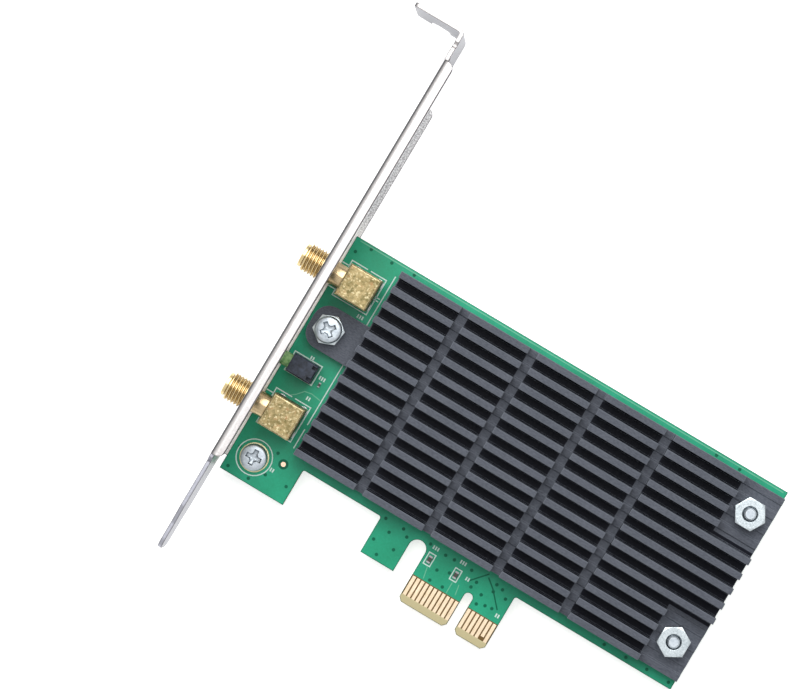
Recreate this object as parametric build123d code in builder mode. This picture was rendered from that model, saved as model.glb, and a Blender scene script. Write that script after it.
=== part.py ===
from build123d import *
import os

# PCI Express wireless card with a finned heatsink, two threaded antenna jacks and a full-height
# rear bracket. All sizes are millimetres.
#
# Frame: X runs along the board from the bracket to the free end, Y runs up the board from the tip
# of the edge connector towards the bracket's mounting tab, and Z points out of the component side.
# The origin is on the centre line of the connector's key slot, at the connector's tip, on the
# board's solder face.

# Board outline
board_thickness = 1.57
board_length = 101.9
board_height = 59.4
bracket_end_x = -57.1
body_bottom_y = 12.8
lug_tip_y = 4.5
corner_lug_width = 15.0
retention_lug_width = 7.8
retention_slot_width = 3.7
inner_corner_radius = 0.5

# Edge connector, one lane
key_width = 1.9
key_depth = 8.7
long_side_reach = 12.15
short_side_reach = 8.15
connector_corner = 0.8
bevel_length = 1.4
bevel_depth = 0.3
finger_pitch = 1.0
finger_width = 0.7
finger_length = 4.3
finger_thickness = 0.04
finger_tip_gap = 1.6
short_finger_cut = 0.8
first_finger_offset = 1.5
long_side_fingers = 11
short_side_fingers = 7

# Chips under the heatsink
chip_side = 10.0
chip_height = 0.85
chip_x = -6.0
chip_y = 34.0
pad_side = 12.0
pad_thickness = 0.5
chip_edge_chamfer = 0.1
front_end_side = 3.0
front_end_height = 0.75
front_end_x = -36.0
crystal_length = 3.2
crystal_width = 2.5
crystal_height = 0.7
chip_spacing = 4.0
regulator_side = 4.0
regulator_height = 0.9
regulator_x = 14.0
regulator_y = 26.0
inductor_side = 4.6
inductor_height = 1.1
inductor_corner = 0.8
capacitor_length = 1.6
capacitor_width = 0.8
capacitor_height = 0.8
capacitor_pitch = 2.4
capacitor_count = 5
coupling_length = 1.6
coupling_width = 0.8
coupling_height = 0.55
coupling_y = 10.4
coupling_x = (-10.7, -4.5)

# Heatsink
heatsink_jack_gap = 2.2
heatsink_top_margin = 1.49
heatsink_bottom_margin = 2.19
heatsink_base = 1.5
fin_height = 4.4
fin_count = 13
fin_thickness = 1.4
fin_root_chamfer = 0.3
cross_cut_width = 2.05
cross_cut_pitch = 16.0
cross_cut_count = 4
first_cut_from_end = 15.2
stump_height = 0.3
pocket_length = 9.3
pocket_fins = 4
ear_width = 9.3
ear_beyond_screw = 4.25
ear_corner_radius = 3.4

# Fasteners
thread_diameter = 3.0
bolt_diameter = 2.5
thread_clearance = 0.05
board_hole_clearance = 0.15
bolt_head_diameter = 5.0
bolt_head_height = 1.9
bolt_tip_length = 0.5
bolt_from_free_end = 4.8
bolt_from_heatsink_top = 6.16
bolt_from_heatsink_bottom = 6.76
nut_flats = 6.0
nut_height = 2.4
nut_chamfer = 0.35
spacer_side = 5.6
collar_flats = 5.8
collar_height = 1.6
collar_sleeve_diameter = 4.2
screw_head_diameter = 5.6
screw_head_height = 1.9
screw_head_chamfer = 0.4
screw_from_edge = 5.05
upper_screw_share = 0.6523
lower_screw_above_lug_tip = 5.4
lower_screw_length = 4.0
upper_screw_length = 8.0
recess_width = 1.0
recess_length = 3.3
recess_depth = 1.2
ground_pad_diameter = 6.1
ground_pad_thickness = 0.04
upper_recess_turn = 49.0
lower_recess_turn = 3.0
collar_turn = 22.0
lower_nut_turn = 30.0
upper_nut_turn = 0.0

# Rear bracket, folded from sheet
sheet = 0.86
bend_radius = 0.5
bracket_width = 18.42
bracket_height = 120.02
tongue_reach = 14.67
bracket_wall_gap = 1.07
flange_depth = 2.54
flange_corner_radius = 1.6
component_flange_stop = 7.0
solder_flange_stop = 16.0
relief_radius = 0.9
edge_nick_radius = 0.6
edge_nick_drop = 3.5
shoulder_width = 12.4
shoulder_length = 12.1
shoulder_taper = 4.0
tongue_width = 10.19
tongue_corner_radius = 2.2
mounting_tab_depth = 11.5
mounting_tab_corner = 1.0
tab_slot_width = 4.42
tab_slot_from_face = 5.08
tab_slot_depth = 5.0
foot_width = 5.2
foot_reach = 3.3
foot_chamfer = 0.9
foot_collar_diameter = 3.9
foot_collar_height = 0.94
antenna_hole_diameter = 7.2
light_hole_diameter = 3.6

# Antenna jacks
upper_jack_from_top = 8.8
lower_jack_above_body = 7.6
jack_axis_height = 6.8
jack_block = 7.1
jack_block_chamfer = 0.35
jack_block_from_edge = 2.6
jack_neck_diameter = 5.0
jack_thread_diameter = 6.2
jack_thread_reach = 4.1
jack_thread_gap = 0.1
jack_shank_diameter = 6.0
jack_shank_inside = 0.6
jack_tip_diameter = 5.1
jack_tip_length = 1.0
jack_bore = 4.1
jack_bore_depth = 5.2
jack_core_bore = 2.9
jack_leg_side = 1.0
jack_leg_pitch = 5.08
jack_leg_below_board = 0.9
insulator_recess = 1.9
fit_clearance = 0.05
contact_diameter = 1.27
contact_tail_diameter = 1.0
contact_nose = 1.2

# Indicator light
light_share = 0.3394
light_axis_height = 3.2
light_diameter = 3.0
light_reach = 3.0
light_body_length = 6.0
light_housing_length = 5.6
light_housing_width = 4.05
light_housing_height = 5.3
light_housing_from_edge = 1.7
light_lead_side = 0.5
light_lead_pitch = 2.54
light_lead_below_board = 0.9
light_lead_run = 1.0
light_housing_chamfer = 0.25
light_channel_width = 3.2
holder_notch_length = 1.1
holder_notch_width = 0.75
holder_notch_depth = 1.3
lamp_nose_chamfer = 0.6
resistor_length = 1.0
resistor_width = 0.5
resistor_height = 0.4
resistor_gap = 1.6
resistor_drop = 1.3

# Places that follow from the sizes above
free_end_x = bracket_end_x + board_length
bracket_face_x = bracket_end_x - bracket_wall_gap - sheet
bracket_low_z = -sheet
bracket_high_z = bracket_low_z + bracket_width
tongue_tip_y = -tongue_reach
bracket_top_y = bracket_height - tongue_reach
upper_jack_y = board_height - upper_jack_from_top
lower_jack_y = body_bottom_y + lower_jack_above_body
jack_spacing = upper_jack_y - lower_jack_y
light_y = lower_jack_y + light_share * jack_spacing
screw_x = bracket_end_x + screw_from_edge
upper_screw_y = lower_jack_y + upper_screw_share * jack_spacing
lower_screw_y = lug_tip_y + lower_screw_above_lug_tip
flange_low_y = lower_screw_y - foot_width / 2
component_flange_top_y = bracket_top_y - component_flange_stop
solder_flange_top_y = bracket_top_y - solder_flange_stop
jack_axis_z = board_thickness + jack_axis_height
light_axis_z = board_thickness + light_axis_height
heatsink_gap = chip_height + pad_thickness
heatsink_under_z = board_thickness + heatsink_gap
gap_floor_z = heatsink_under_z + heatsink_base
fin_top_z = gap_floor_z + fin_height
cut_floor_z = gap_floor_z + stump_height
bolt_x = free_end_x - bolt_from_free_end
board_hole_diameter = thread_diameter + 2 * board_hole_clearance
bolt_hole_diameter = bolt_diameter + 2 * board_hole_clearance
jack_block_left_x = bracket_end_x + jack_block_from_edge
jack_center_x = jack_block_left_x + jack_block / 2
heatsink_left_x = jack_block_left_x + jack_block + heatsink_jack_gap
heatsink_length = free_end_x - heatsink_left_x
heatsink_low_y = body_bottom_y + heatsink_bottom_margin
heatsink_high_y = board_height - heatsink_top_margin
fin_pitch = (heatsink_high_y - heatsink_low_y - fin_thickness) / (fin_count - 1)
light_housing_left_x = bracket_end_x + light_housing_from_edge
bolt_places = [
    (bolt_x, heatsink_low_y + bolt_from_heatsink_bottom),
    (bolt_x, heatsink_high_y - bolt_from_heatsink_top),
]
outer_bend = bend_radius + sheet
tab_tip_x = bracket_face_x + sheet - mounting_tab_depth
light_lead_x = light_housing_left_x - light_reach + light_body_length + light_lead_run
lead_hole_side = light_lead_side + 2 * board_hole_clearance


def rectangle_between(x_low, x_high, y_low, y_high, mode=Mode.ADD):
    """Draw a rectangle from its corner coordinates in the current sketch."""
    with Locations(((x_low + x_high) / 2, (y_low + y_high) / 2)):
        Rectangle(x_high - x_low, y_high - y_low, mode=mode)


def folded_section(outside, inside):
    """Draw the section of one fold of sheet from its outside and inside corner points."""
    with BuildLine() as outline:
        FilletPolyline(*outside, radius=outer_bend)
        FilletPolyline(*inside, radius=bend_radius)
        Line(outside[0], inside[0])
        Line(outside[-1], inside[-1])
    make_face(outline.edges())


def finish_piece(piece, name):
    """Label one finished piece and write its file."""
    piece.part.label = name
    export_step(piece.part, f"parts/{name}.step")


os.makedirs("parts", exist_ok=True)


# Circuit board: one routed panel with two lugs, the edge connector and its key slot
retention_lug_right_x = -long_side_reach - retention_slot_width
retention_lug_left_x = retention_lug_right_x - retention_lug_width
retention_slot_x = retention_lug_right_x + retention_slot_width / 2
corner_lug_right_x = bracket_end_x + corner_lug_width

with BuildPart() as circuit_board:
    with BuildSketch(Plane.XY):
        rectangle_between(bracket_end_x, free_end_x, body_bottom_y, board_height)
        rectangle_between(bracket_end_x, corner_lug_right_x, lug_tip_y, body_bottom_y)
        rectangle_between(retention_lug_left_x, short_side_reach, lug_tip_y, body_bottom_y)
        rectangle_between(-long_side_reach, short_side_reach, 0, lug_tip_y)
        rectangle_between(
            retention_lug_right_x,
            -long_side_reach,
            0,
            body_bottom_y - retention_slot_width / 2,
            mode=Mode.SUBTRACT,
        )
        with Locations((retention_slot_x, body_bottom_y - retention_slot_width / 2)):
            Circle(retention_slot_width / 2, mode=Mode.SUBTRACT)
        rectangle_between(
            -key_width / 2, key_width / 2, 0, key_depth - key_width / 2, mode=Mode.SUBTRACT
        )
        with Locations((0, key_depth - key_width / 2)):
            Circle(key_width / 2, mode=Mode.SUBTRACT)
    extrude(amount=board_thickness)
    upright = circuit_board.edges().filter_by(Axis.Z)
    inner_corners = upright.filter_by(
        lambda edge: abs(edge.center().Y - body_bottom_y) < 0.01
        and min(
            abs(edge.center().X - corner_lug_right_x),
            abs(edge.center().X - retention_lug_left_x),
            abs(edge.center().X - short_side_reach),
        )
        < 0.01
    )
    fillet(inner_corners, radius=inner_corner_radius)
    tip_corners = circuit_board.edges().filter_by(Axis.Z).group_by(Axis.Y)[0]
    chamfer(tip_corners, length=connector_corner)
    with BuildSketch(Plane.YZ.offset(-long_side_reach)):
        for face_z, inward in ((0, 1), (board_thickness, -1)):
            with BuildLine():
                Polyline(
                    (0, face_z),
                    (bevel_length, face_z),
                    (0, face_z + inward * bevel_depth),
                    close=True,
                )
            make_face()
    extrude(amount=long_side_reach + short_side_reach, mode=Mode.SUBTRACT)
    with BuildSketch(Plane.XY):
        with Locations(*bolt_places):
            Circle(bolt_hole_diameter / 2)
        with Locations((screw_x, upper_screw_y), (screw_x, lower_screw_y)):
            Circle(board_hole_diameter / 2)
        for jack_y in (upper_jack_y, lower_jack_y):
            with Locations((jack_center_x, jack_y)):
                with GridLocations(jack_leg_pitch, jack_leg_pitch, 2, 2):
                    Rectangle(jack_leg_side, jack_leg_side)
                Circle(contact_tail_diameter / 2 + fit_clearance)
        with Locations((light_lead_x, light_y)):
            with GridLocations(1, light_lead_pitch, 1, 2):
                Rectangle(lead_hole_side, lead_hole_side)
    extrude(amount=board_thickness, mode=Mode.SUBTRACT)
finish_piece(circuit_board, "circuit_board")


# Edge contacts: plated fingers on both faces, the presence fingers shorter at the tip
long_side_x = [-first_finger_offset - i * finger_pitch for i in range(long_side_fingers)]
short_side_x = [first_finger_offset + i * finger_pitch for i in range(short_side_fingers)]
finger_centers = long_side_x + short_side_x
component_presence_x = short_side_x[-2]
solder_presence_x = long_side_x[-1]

with BuildPart() as edge_contacts:
    for face_z, lift, presence_x in (
        (board_thickness, finger_thickness, component_presence_x),
        (0, -finger_thickness, solder_presence_x),
    ):
        with BuildSketch(Plane.XY.offset(face_z)):
            for finger_x in finger_centers:
                cut = short_finger_cut if finger_x == presence_x else 0
                rectangle_between(
                    finger_x - finger_width / 2,
                    finger_x + finger_width / 2,
                    finger_tip_gap + cut,
                    finger_tip_gap + finger_length,
                )
        extrude(amount=lift)
finish_piece(edge_contacts, "edge_contacts")


# Chips on the component side, most of them hidden by the heatsink
def board_footprint(width, depth, places, corner=0.0):
    """Draw footprints of one size on the board's component face, ready to extrude."""
    with BuildSketch(Plane.XY.offset(board_thickness)) as footprint:
        with Locations(*places):
            if corner > 0:
                RectangleRounded(width, depth, corner)
            else:
                Rectangle(width, depth)
    return footprint.sketch


with BuildPart() as wifi_chip:
    extrude(board_footprint(chip_side, chip_side, [(chip_x, chip_y)]), amount=chip_height)
    chamfer(wifi_chip.faces().sort_by(Axis.Z)[-1].edges(), length=chip_edge_chamfer)
finish_piece(wifi_chip, "wifi_chip")

with BuildPart() as thermal_pad:
    with BuildSketch(Plane.XY.offset(board_thickness + chip_height)):
        with Locations((chip_x, chip_y)):
            Rectangle(pad_side, pad_side)
    extrude(amount=pad_thickness)
finish_piece(thermal_pad, "thermal_pad")

with BuildPart() as radio_front_ends:
    front_end_places = [
        (front_end_x, jack_y + side * chip_spacing)
        for jack_y in (upper_jack_y, lower_jack_y)
        for side in (-0.5, 0.5)
    ]
    extrude(
        board_footprint(front_end_side, front_end_side, front_end_places),
        amount=front_end_height,
    )
finish_piece(radio_front_ends, "radio_front_ends")

with BuildPart() as clock_crystal:
    crystal_place = (chip_x + chip_side / 2 + chip_spacing, chip_y + chip_side / 2)
    extrude(
        board_footprint(crystal_length, crystal_width, [crystal_place]),
        amount=crystal_height,
    )
finish_piece(clock_crystal, "clock_crystal")

with BuildPart() as power_regulator:
    extrude(
        board_footprint(regulator_side, regulator_side, [(regulator_x, regulator_y)]),
        amount=regulator_height,
    )
finish_piece(power_regulator, "power_regulator")

with BuildPart() as power_inductor:
    inductor_x = regulator_x + regulator_side / 2 + inductor_side / 2 + chip_spacing
    extrude(
        board_footprint(
            inductor_side, inductor_side, [(inductor_x, regulator_y)], inductor_corner
        ),
        amount=inductor_height,
    )
finish_piece(power_inductor, "power_inductor")

with BuildPart() as bypass_capacitors:
    with BuildSketch(Plane.XY.offset(board_thickness)):
        with Locations((chip_x, chip_y - chip_side / 2 - chip_spacing)):
            with GridLocations(capacitor_pitch, 1, capacitor_count, 1):
                Rectangle(capacitor_width, capacitor_length)
    extrude(amount=capacitor_height)
finish_piece(bypass_capacitors, "bypass_capacitors")

with BuildPart() as coupling_capacitors:
    coupling_places = [(x, coupling_y) for x in coupling_x]
    extrude(
        board_footprint(coupling_width, coupling_length, coupling_places),
        amount=coupling_height,
    )
finish_piece(coupling_capacitors, "coupling_capacitors")

with BuildPart() as light_resistor:
    resistor_place = (
        light_housing_left_x + light_housing_length + resistor_gap,
        light_y - resistor_drop,
    )
    extrude(
        board_footprint(resistor_width, resistor_length, [resistor_place]),
        amount=resistor_height,
    )
finish_piece(light_resistor, "light_resistor")


# Heatsink: an extruded comb, cross-cut by saw, with milled pockets for the two nuts and an ear
fin_centers = [heatsink_low_y + fin_thickness / 2 + i * fin_pitch for i in range(fin_count)]
pocket_width = (pocket_fins - 0.5) * fin_pitch + fin_thickness / 2
cut_centers = [
    heatsink_left_x + first_cut_from_end + i * cross_cut_pitch for i in range(cross_cut_count)
]

with BuildPart() as heatsink:
    with BuildSketch(Plane.YZ.offset(heatsink_left_x)):
        rectangle_between(heatsink_low_y, heatsink_high_y, heatsink_under_z, gap_floor_z)
        for fin_y in fin_centers:
            rectangle_between(
                fin_y - fin_thickness / 2, fin_y + fin_thickness / 2, gap_floor_z, fin_top_z
            )
    extrude(amount=heatsink_length)
    fin_roots = heatsink.edges().filter_by(Axis.X).filter_by(
        lambda edge: abs(edge.center().Z - gap_floor_z) < 0.01
        and heatsink_low_y + 0.01 < edge.center().Y < heatsink_high_y - 0.01
    )
    chamfer(fin_roots, length=fin_root_chamfer)
    with BuildSketch(Plane.XY.offset(cut_floor_z)):
        for cut_x in cut_centers:
            rectangle_between(
                cut_x - cross_cut_width / 2,
                cut_x + cross_cut_width / 2,
                heatsink_low_y,
                heatsink_high_y,
            )
        rectangle_between(
            free_end_x - pocket_length, free_end_x, heatsink_low_y, heatsink_low_y + pocket_width
        )
        rectangle_between(
            free_end_x - pocket_length, free_end_x, heatsink_high_y - pocket_width, heatsink_high_y
        )
    extrude(amount=fin_height, mode=Mode.SUBTRACT)
    with BuildSketch(Plane.XY.offset(heatsink_under_z)) as ear_outline:
        rectangle_between(
            screw_x - ear_beyond_screw,
            heatsink_left_x,
            upper_screw_y - ear_width / 2,
            upper_screw_y + ear_width / 2,
        )
        fillet(ear_outline.vertices().group_by(Axis.X)[0], radius=ear_corner_radius)
    extrude(amount=heatsink_base)
    with BuildSketch(Plane.XY.offset(heatsink_under_z)):
        with Locations(*bolt_places):
            Circle(bolt_hole_diameter / 2)
        with Locations((screw_x, upper_screw_y)):
            Circle(collar_sleeve_diameter / 2 + board_hole_clearance)
    extrude(amount=fin_height, mode=Mode.SUBTRACT)
finish_piece(heatsink, "heatsink")


# Rear bracket: a folded channel with a mounting tab, a tongue and two threaded feet
fold_leg = outer_bend + bend_radius
wall_low_z = bracket_low_z + fold_leg
wall_high_z = bracket_high_z - fold_leg
wall_top_y = bracket_top_y - fold_leg
wall_middle_z = bracket_low_z + bracket_width / 2
flange_edge_x = bracket_face_x + flange_depth
shoulder_low_y = flange_low_y - shoulder_length
foot_end_x = screw_x + foot_reach


def flange_section(edge_z, inward, top_y):
    """Draw the fold of one long edge of the wall into a flange, at the flange's top end."""
    leg_z = edge_z + inward * fold_leg
    inner_z = edge_z + inward * sheet
    with BuildSketch(Plane.XZ.offset(-top_y)) as section:
        folded_section(
            [(bracket_face_x, leg_z), (bracket_face_x, edge_z), (flange_edge_x, edge_z)],
            [
                (bracket_face_x + sheet, leg_z),
                (bracket_face_x + sheet, inner_z),
                (flange_edge_x, inner_z),
            ],
        )
    return section.sketch


with BuildPart() as rear_bracket:
    with BuildSketch(Plane.YZ.offset(bracket_face_x)) as wall_outline:
        rectangle_between(flange_low_y, wall_top_y, wall_low_z, wall_high_z)
        rectangle_between(solder_flange_top_y, wall_top_y, bracket_low_z, wall_low_z)
        rectangle_between(component_flange_top_y, wall_top_y, wall_high_z, bracket_high_z)
        with BuildLine():
            Polyline(
                (flange_low_y, wall_low_z),
                (flange_low_y - relief_radius, wall_low_z),
                (flange_low_y - 2 * relief_radius, wall_middle_z - shoulder_width / 2),
                (shoulder_low_y, wall_middle_z - shoulder_width / 2),
                (shoulder_low_y - shoulder_taper, wall_middle_z - tongue_width / 2),
                (shoulder_low_y - shoulder_taper, wall_middle_z + tongue_width / 2),
                (shoulder_low_y, wall_middle_z + shoulder_width / 2),
                (flange_low_y - 2 * relief_radius, wall_middle_z + shoulder_width / 2),
                (flange_low_y - relief_radius, wall_high_z),
                (flange_low_y, wall_high_z),
                close=True,
            )
        make_face()
        rectangle_between(
            tongue_tip_y,
            shoulder_low_y - shoulder_taper,
            wall_middle_z - tongue_width / 2,
            wall_middle_z + tongue_width / 2,
        )
        fillet(wall_outline.vertices().group_by(Axis.X)[0], radius=tongue_corner_radius)
        with Locations(
            (component_flange_top_y, wall_high_z + bend_radius),
            (solder_flange_top_y, wall_low_z - bend_radius),
        ):
            Circle(relief_radius, mode=Mode.SUBTRACT)
        with Locations((bracket_top_y - edge_nick_drop, bracket_high_z)):
            Circle(edge_nick_radius, mode=Mode.SUBTRACT)
        with Locations((upper_jack_y, jack_axis_z), (lower_jack_y, jack_axis_z)):
            Circle(antenna_hole_diameter / 2, mode=Mode.SUBTRACT)
        with Locations((light_y, light_axis_z)):
            Circle(light_hole_diameter / 2, mode=Mode.SUBTRACT)
    extrude(amount=sheet)
    extrude(
        flange_section(bracket_low_z, 1, solder_flange_top_y),
        amount=solder_flange_top_y - flange_low_y,
    )
    extrude(
        flange_section(bracket_high_z, -1, component_flange_top_y),
        amount=component_flange_top_y - flange_low_y,
    )
    with BuildSketch(Plane.XY.offset(bracket_low_z)):
        folded_section(
            [
                (bracket_face_x + sheet, wall_top_y),
                (bracket_face_x + sheet, bracket_top_y),
                (tab_tip_x, bracket_top_y),
            ],
            [
                (bracket_face_x, wall_top_y),
                (bracket_face_x, bracket_top_y - sheet),
                (tab_tip_x, bracket_top_y - sheet),
            ],
        )
    extrude(amount=bracket_width)
    with BuildSketch(Plane.XZ.offset(-bracket_top_y)):
        slot_x = bracket_face_x - tab_slot_from_face
        rectangle_between(
            slot_x - tab_slot_width / 2,
            slot_x + tab_slot_width / 2,
            bracket_low_z,
            bracket_low_z + tab_slot_depth - tab_slot_width / 2,
        )
        with Locations((slot_x, bracket_low_z + tab_slot_depth - tab_slot_width / 2)):
            Circle(tab_slot_width / 2)
    extrude(amount=sheet, mode=Mode.SUBTRACT)
    tab_corners = (
        rear_bracket.edges()
        .filter_by(Axis.Y)
        .filter_by(lambda edge: abs(edge.center().X - tab_tip_x) < 0.01)
    )
    fillet(tab_corners, radius=mounting_tab_corner)
    flange_corners = (
        rear_bracket.edges()
        .filter_by(Axis.Z)
        .filter_by(lambda edge: abs(edge.center().X - flange_edge_x) < 0.01)
        .filter_by(
            lambda edge: edge.center().Y > lower_screw_y or edge.center().Z > wall_middle_z
        )
    )
    fillet(flange_corners, radius=flange_corner_radius)
    with BuildSketch(Plane.XY.offset(bracket_low_z)):
        for foot_y in (upper_screw_y, lower_screw_y):
            with BuildLine():
                Polyline(
                    (flange_edge_x - bend_radius, foot_y - foot_width / 2),
                    (foot_end_x - foot_chamfer, foot_y - foot_width / 2),
                    (foot_end_x, foot_y - foot_width / 2 + foot_chamfer),
                    (foot_end_x, foot_y + foot_width / 2 - foot_chamfer),
                    (foot_end_x - foot_chamfer, foot_y + foot_width / 2),
                    (flange_edge_x - bend_radius, foot_y + foot_width / 2),
                    close=True,
                )
            make_face()
    extrude(amount=sheet)
    with BuildSketch(Plane.XY.offset(bracket_low_z)):
        with Locations((screw_x, upper_screw_y), (screw_x, lower_screw_y)):
            Circle(foot_collar_diameter / 2)
    extrude(amount=-foot_collar_height)
    with BuildSketch(Plane.XY):
        with Locations((screw_x, upper_screw_y), (screw_x, lower_screw_y)):
            Circle(thread_diameter / 2 + thread_clearance)
    extrude(amount=-sheet - foot_collar_height, mode=Mode.SUBTRACT)
finish_piece(rear_bracket, "rear_bracket")


# Antenna jacks: a square block on four legs, a neck, a shank through the bracket's hole, a threaded
# barrel outside it and a smooth lead-in ring at the tip
barrel_inner_x = bracket_face_x - jack_thread_gap
shank_inner_x = bracket_face_x + sheet + jack_shank_inside
barrel_outer_x = bracket_face_x - jack_thread_reach
jack_tip_x = barrel_outer_x - jack_tip_length
bore_end_x = jack_tip_x + jack_bore_depth
insulator_face_x = jack_tip_x + insulator_recess
block_low_z = jack_axis_z - jack_block / 2


def jack_circle(at_x, diameter, axis_y):
    """Draw a circle about a jack's axis, in the plane that crosses the axis at at_x."""
    with BuildSketch(Plane.YZ.offset(at_x)) as section:
        with Locations((axis_y, jack_axis_z)):
            Circle(diameter / 2)
    return section.sketch


for side_name, jack_y in (("upper", upper_jack_y), ("lower", lower_jack_y)):
    with BuildPart() as antenna_jack:
        with BuildSketch(Plane.XY.offset(block_low_z)):
            with Locations((jack_center_x, jack_y)):
                Rectangle(jack_block, jack_block)
        extrude(amount=jack_block)
        chamfer(antenna_jack.faces().sort_by(Axis.Z)[-1].edges(), length=jack_block_chamfer)
        for start_x, stop_x, diameter in (
            (shank_inner_x, jack_block_left_x, jack_neck_diameter),
            (barrel_inner_x, shank_inner_x, jack_shank_diameter),
            (barrel_outer_x, barrel_inner_x, jack_thread_diameter),
            (jack_tip_x, barrel_outer_x, jack_tip_diameter),
        ):
            extrude(jack_circle(start_x, diameter, jack_y), amount=stop_x - start_x)
        with BuildSketch(Plane.XY.offset(block_low_z)):
            with Locations((jack_center_x, jack_y)):
                with GridLocations(jack_leg_pitch, jack_leg_pitch, 2, 2):
                    Rectangle(jack_leg_side, jack_leg_side)
        extrude(amount=-(block_low_z + jack_leg_below_board))
        for start_x, stop_x, diameter in (
            (jack_tip_x, bore_end_x, jack_bore),
            (bore_end_x, jack_center_x + jack_core_bore / 2, jack_core_bore),
        ):
            extrude(
                jack_circle(start_x, diameter, jack_y),
                amount=stop_x - start_x,
                mode=Mode.SUBTRACT,
            )
        with BuildSketch(Plane.XY.offset(block_low_z)):
            with Locations((jack_center_x, jack_y)):
                Circle(jack_core_bore / 2)
        extrude(amount=jack_block / 2, mode=Mode.SUBTRACT)
    finish_piece(antenna_jack, f"antenna_jack_{side_name}")

    with BuildPart() as jack_insulator:
        for start_x, stop_x, bore in (
            (insulator_face_x, bore_end_x, jack_bore),
            (bore_end_x, jack_block_left_x, jack_core_bore),
        ):
            extrude(
                jack_circle(start_x, bore - 2 * fit_clearance, jack_y), amount=stop_x - start_x
            )
        extrude(
            jack_circle(insulator_face_x, contact_diameter + 2 * fit_clearance, jack_y),
            amount=jack_block_left_x - insulator_face_x,
            mode=Mode.SUBTRACT,
        )
    finish_piece(jack_insulator, f"jack_insulator_{side_name}")

    with BuildPart() as jack_contact:
        nose_x = insulator_face_x - contact_nose
        extrude(
            jack_circle(nose_x, contact_diameter, jack_y),
            amount=jack_center_x + contact_tail_diameter / 2 - nose_x,
        )
        with BuildSketch(Plane.XY.offset(jack_axis_z)):
            with Locations((jack_center_x, jack_y)):
                Circle(contact_tail_diameter / 2)
        extrude(amount=-(jack_axis_z + jack_leg_below_board))
    finish_piece(jack_contact, f"jack_contact_{side_name}")


# Indicator light: a lamp held on its side by a black housing, with two bent leads
lamp_tip_x = light_housing_left_x - light_reach
lamp_end_x = lamp_tip_x + light_body_length
housing_right_x = light_housing_left_x + light_housing_length

with BuildPart() as light_housing:
    housing_place = (light_housing_left_x + light_housing_length / 2, light_y)
    extrude(
        board_footprint(light_housing_length, light_housing_width, [housing_place]),
        amount=light_housing_height,
    )
    chamfer(light_housing.faces().sort_by(Axis.Z)[-1].edges(), length=light_housing_chamfer)
    with BuildSketch(Plane.YZ.offset(light_housing_left_x)):
        with Locations((light_y, light_axis_z)):
            Circle(light_diameter / 2 + fit_clearance)
    extrude(amount=lamp_end_x - light_housing_left_x, mode=Mode.SUBTRACT)
    with BuildSketch(Plane.XY.offset(board_thickness)):
        rectangle_between(
            lamp_end_x,
            light_lead_x + light_lead_side,
            light_y - light_channel_width / 2,
            light_y + light_channel_width / 2,
        )
    extrude(amount=light_axis_height + light_lead_side, mode=Mode.SUBTRACT)
    with BuildSketch(Plane.XY.offset(board_thickness + light_housing_height)):
        with Locations((housing_right_x - holder_notch_length / 2, light_y)):
            with GridLocations(1, light_lead_pitch, 1, 2):
                Rectangle(holder_notch_length, holder_notch_width)
    extrude(amount=-holder_notch_depth, mode=Mode.SUBTRACT)
finish_piece(light_housing, "light_housing")

with BuildPart() as light_lamp:
    with BuildSketch(Plane.YZ.offset(lamp_tip_x)):
        with Locations((light_y, light_axis_z)):
            Circle(light_diameter / 2)
    extrude(amount=light_body_length)
    chamfer(light_lamp.faces().sort_by(Axis.X)[0].edges(), length=lamp_nose_chamfer)
finish_piece(light_lamp, "light_lamp")

with BuildPart() as light_leads:
    for side in (-1, 1):
        lead_y = light_y + side * light_lead_pitch / 2
        with BuildSketch(Plane.XZ.offset(-lead_y)):
            rectangle_between(
                lamp_end_x,
                light_lead_x + light_lead_side / 2,
                light_axis_z - light_lead_side / 2,
                light_axis_z + light_lead_side / 2,
            )
            rectangle_between(
                light_lead_x - light_lead_side / 2,
                light_lead_x + light_lead_side / 2,
                -light_lead_below_board,
                light_axis_z,
            )
        extrude(amount=light_lead_side / 2, both=True)
finish_piece(light_leads, "light_leads")


# Fasteners: bracket screws, the hex collar on the ear, and the heatsink's bolts, spacers and nuts
def pan_head_screw(place, seat_z, length, head_turn):
    """Build a cross-recessed pan-head screw whose head seats at seat_z, thread downwards."""
    with BuildPart() as screw:
        with BuildSketch(Plane.XY.offset(seat_z)):
            with Locations(place):
                Circle(screw_head_diameter / 2)
        extrude(amount=screw_head_height)
        chamfer(screw.faces().sort_by(Axis.Z)[-1].edges(), length=screw_head_chamfer)
        with BuildSketch(Plane.XY.offset(seat_z)):
            with Locations(place):
                Circle(thread_diameter / 2)
        extrude(amount=-length)
        with BuildSketch(Plane.XY.offset(seat_z + screw_head_height - recess_depth)):
            with Locations(Location((*place, 0), (0, 0, head_turn))):
                Rectangle(recess_length, recess_width)
                Rectangle(recess_width, recess_length)
        extrude(amount=recess_depth, mode=Mode.SUBTRACT)
    return screw


collar_top_z = gap_floor_z + collar_height

upper_bracket_screw = pan_head_screw(
    (screw_x, upper_screw_y), collar_top_z, upper_screw_length, upper_recess_turn
)
finish_piece(upper_bracket_screw, "upper_bracket_screw")

lower_bracket_screw = pan_head_screw(
    (screw_x, lower_screw_y),
    board_thickness + ground_pad_thickness,
    lower_screw_length,
    lower_recess_turn,
)
finish_piece(lower_bracket_screw, "lower_bracket_screw")

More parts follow.
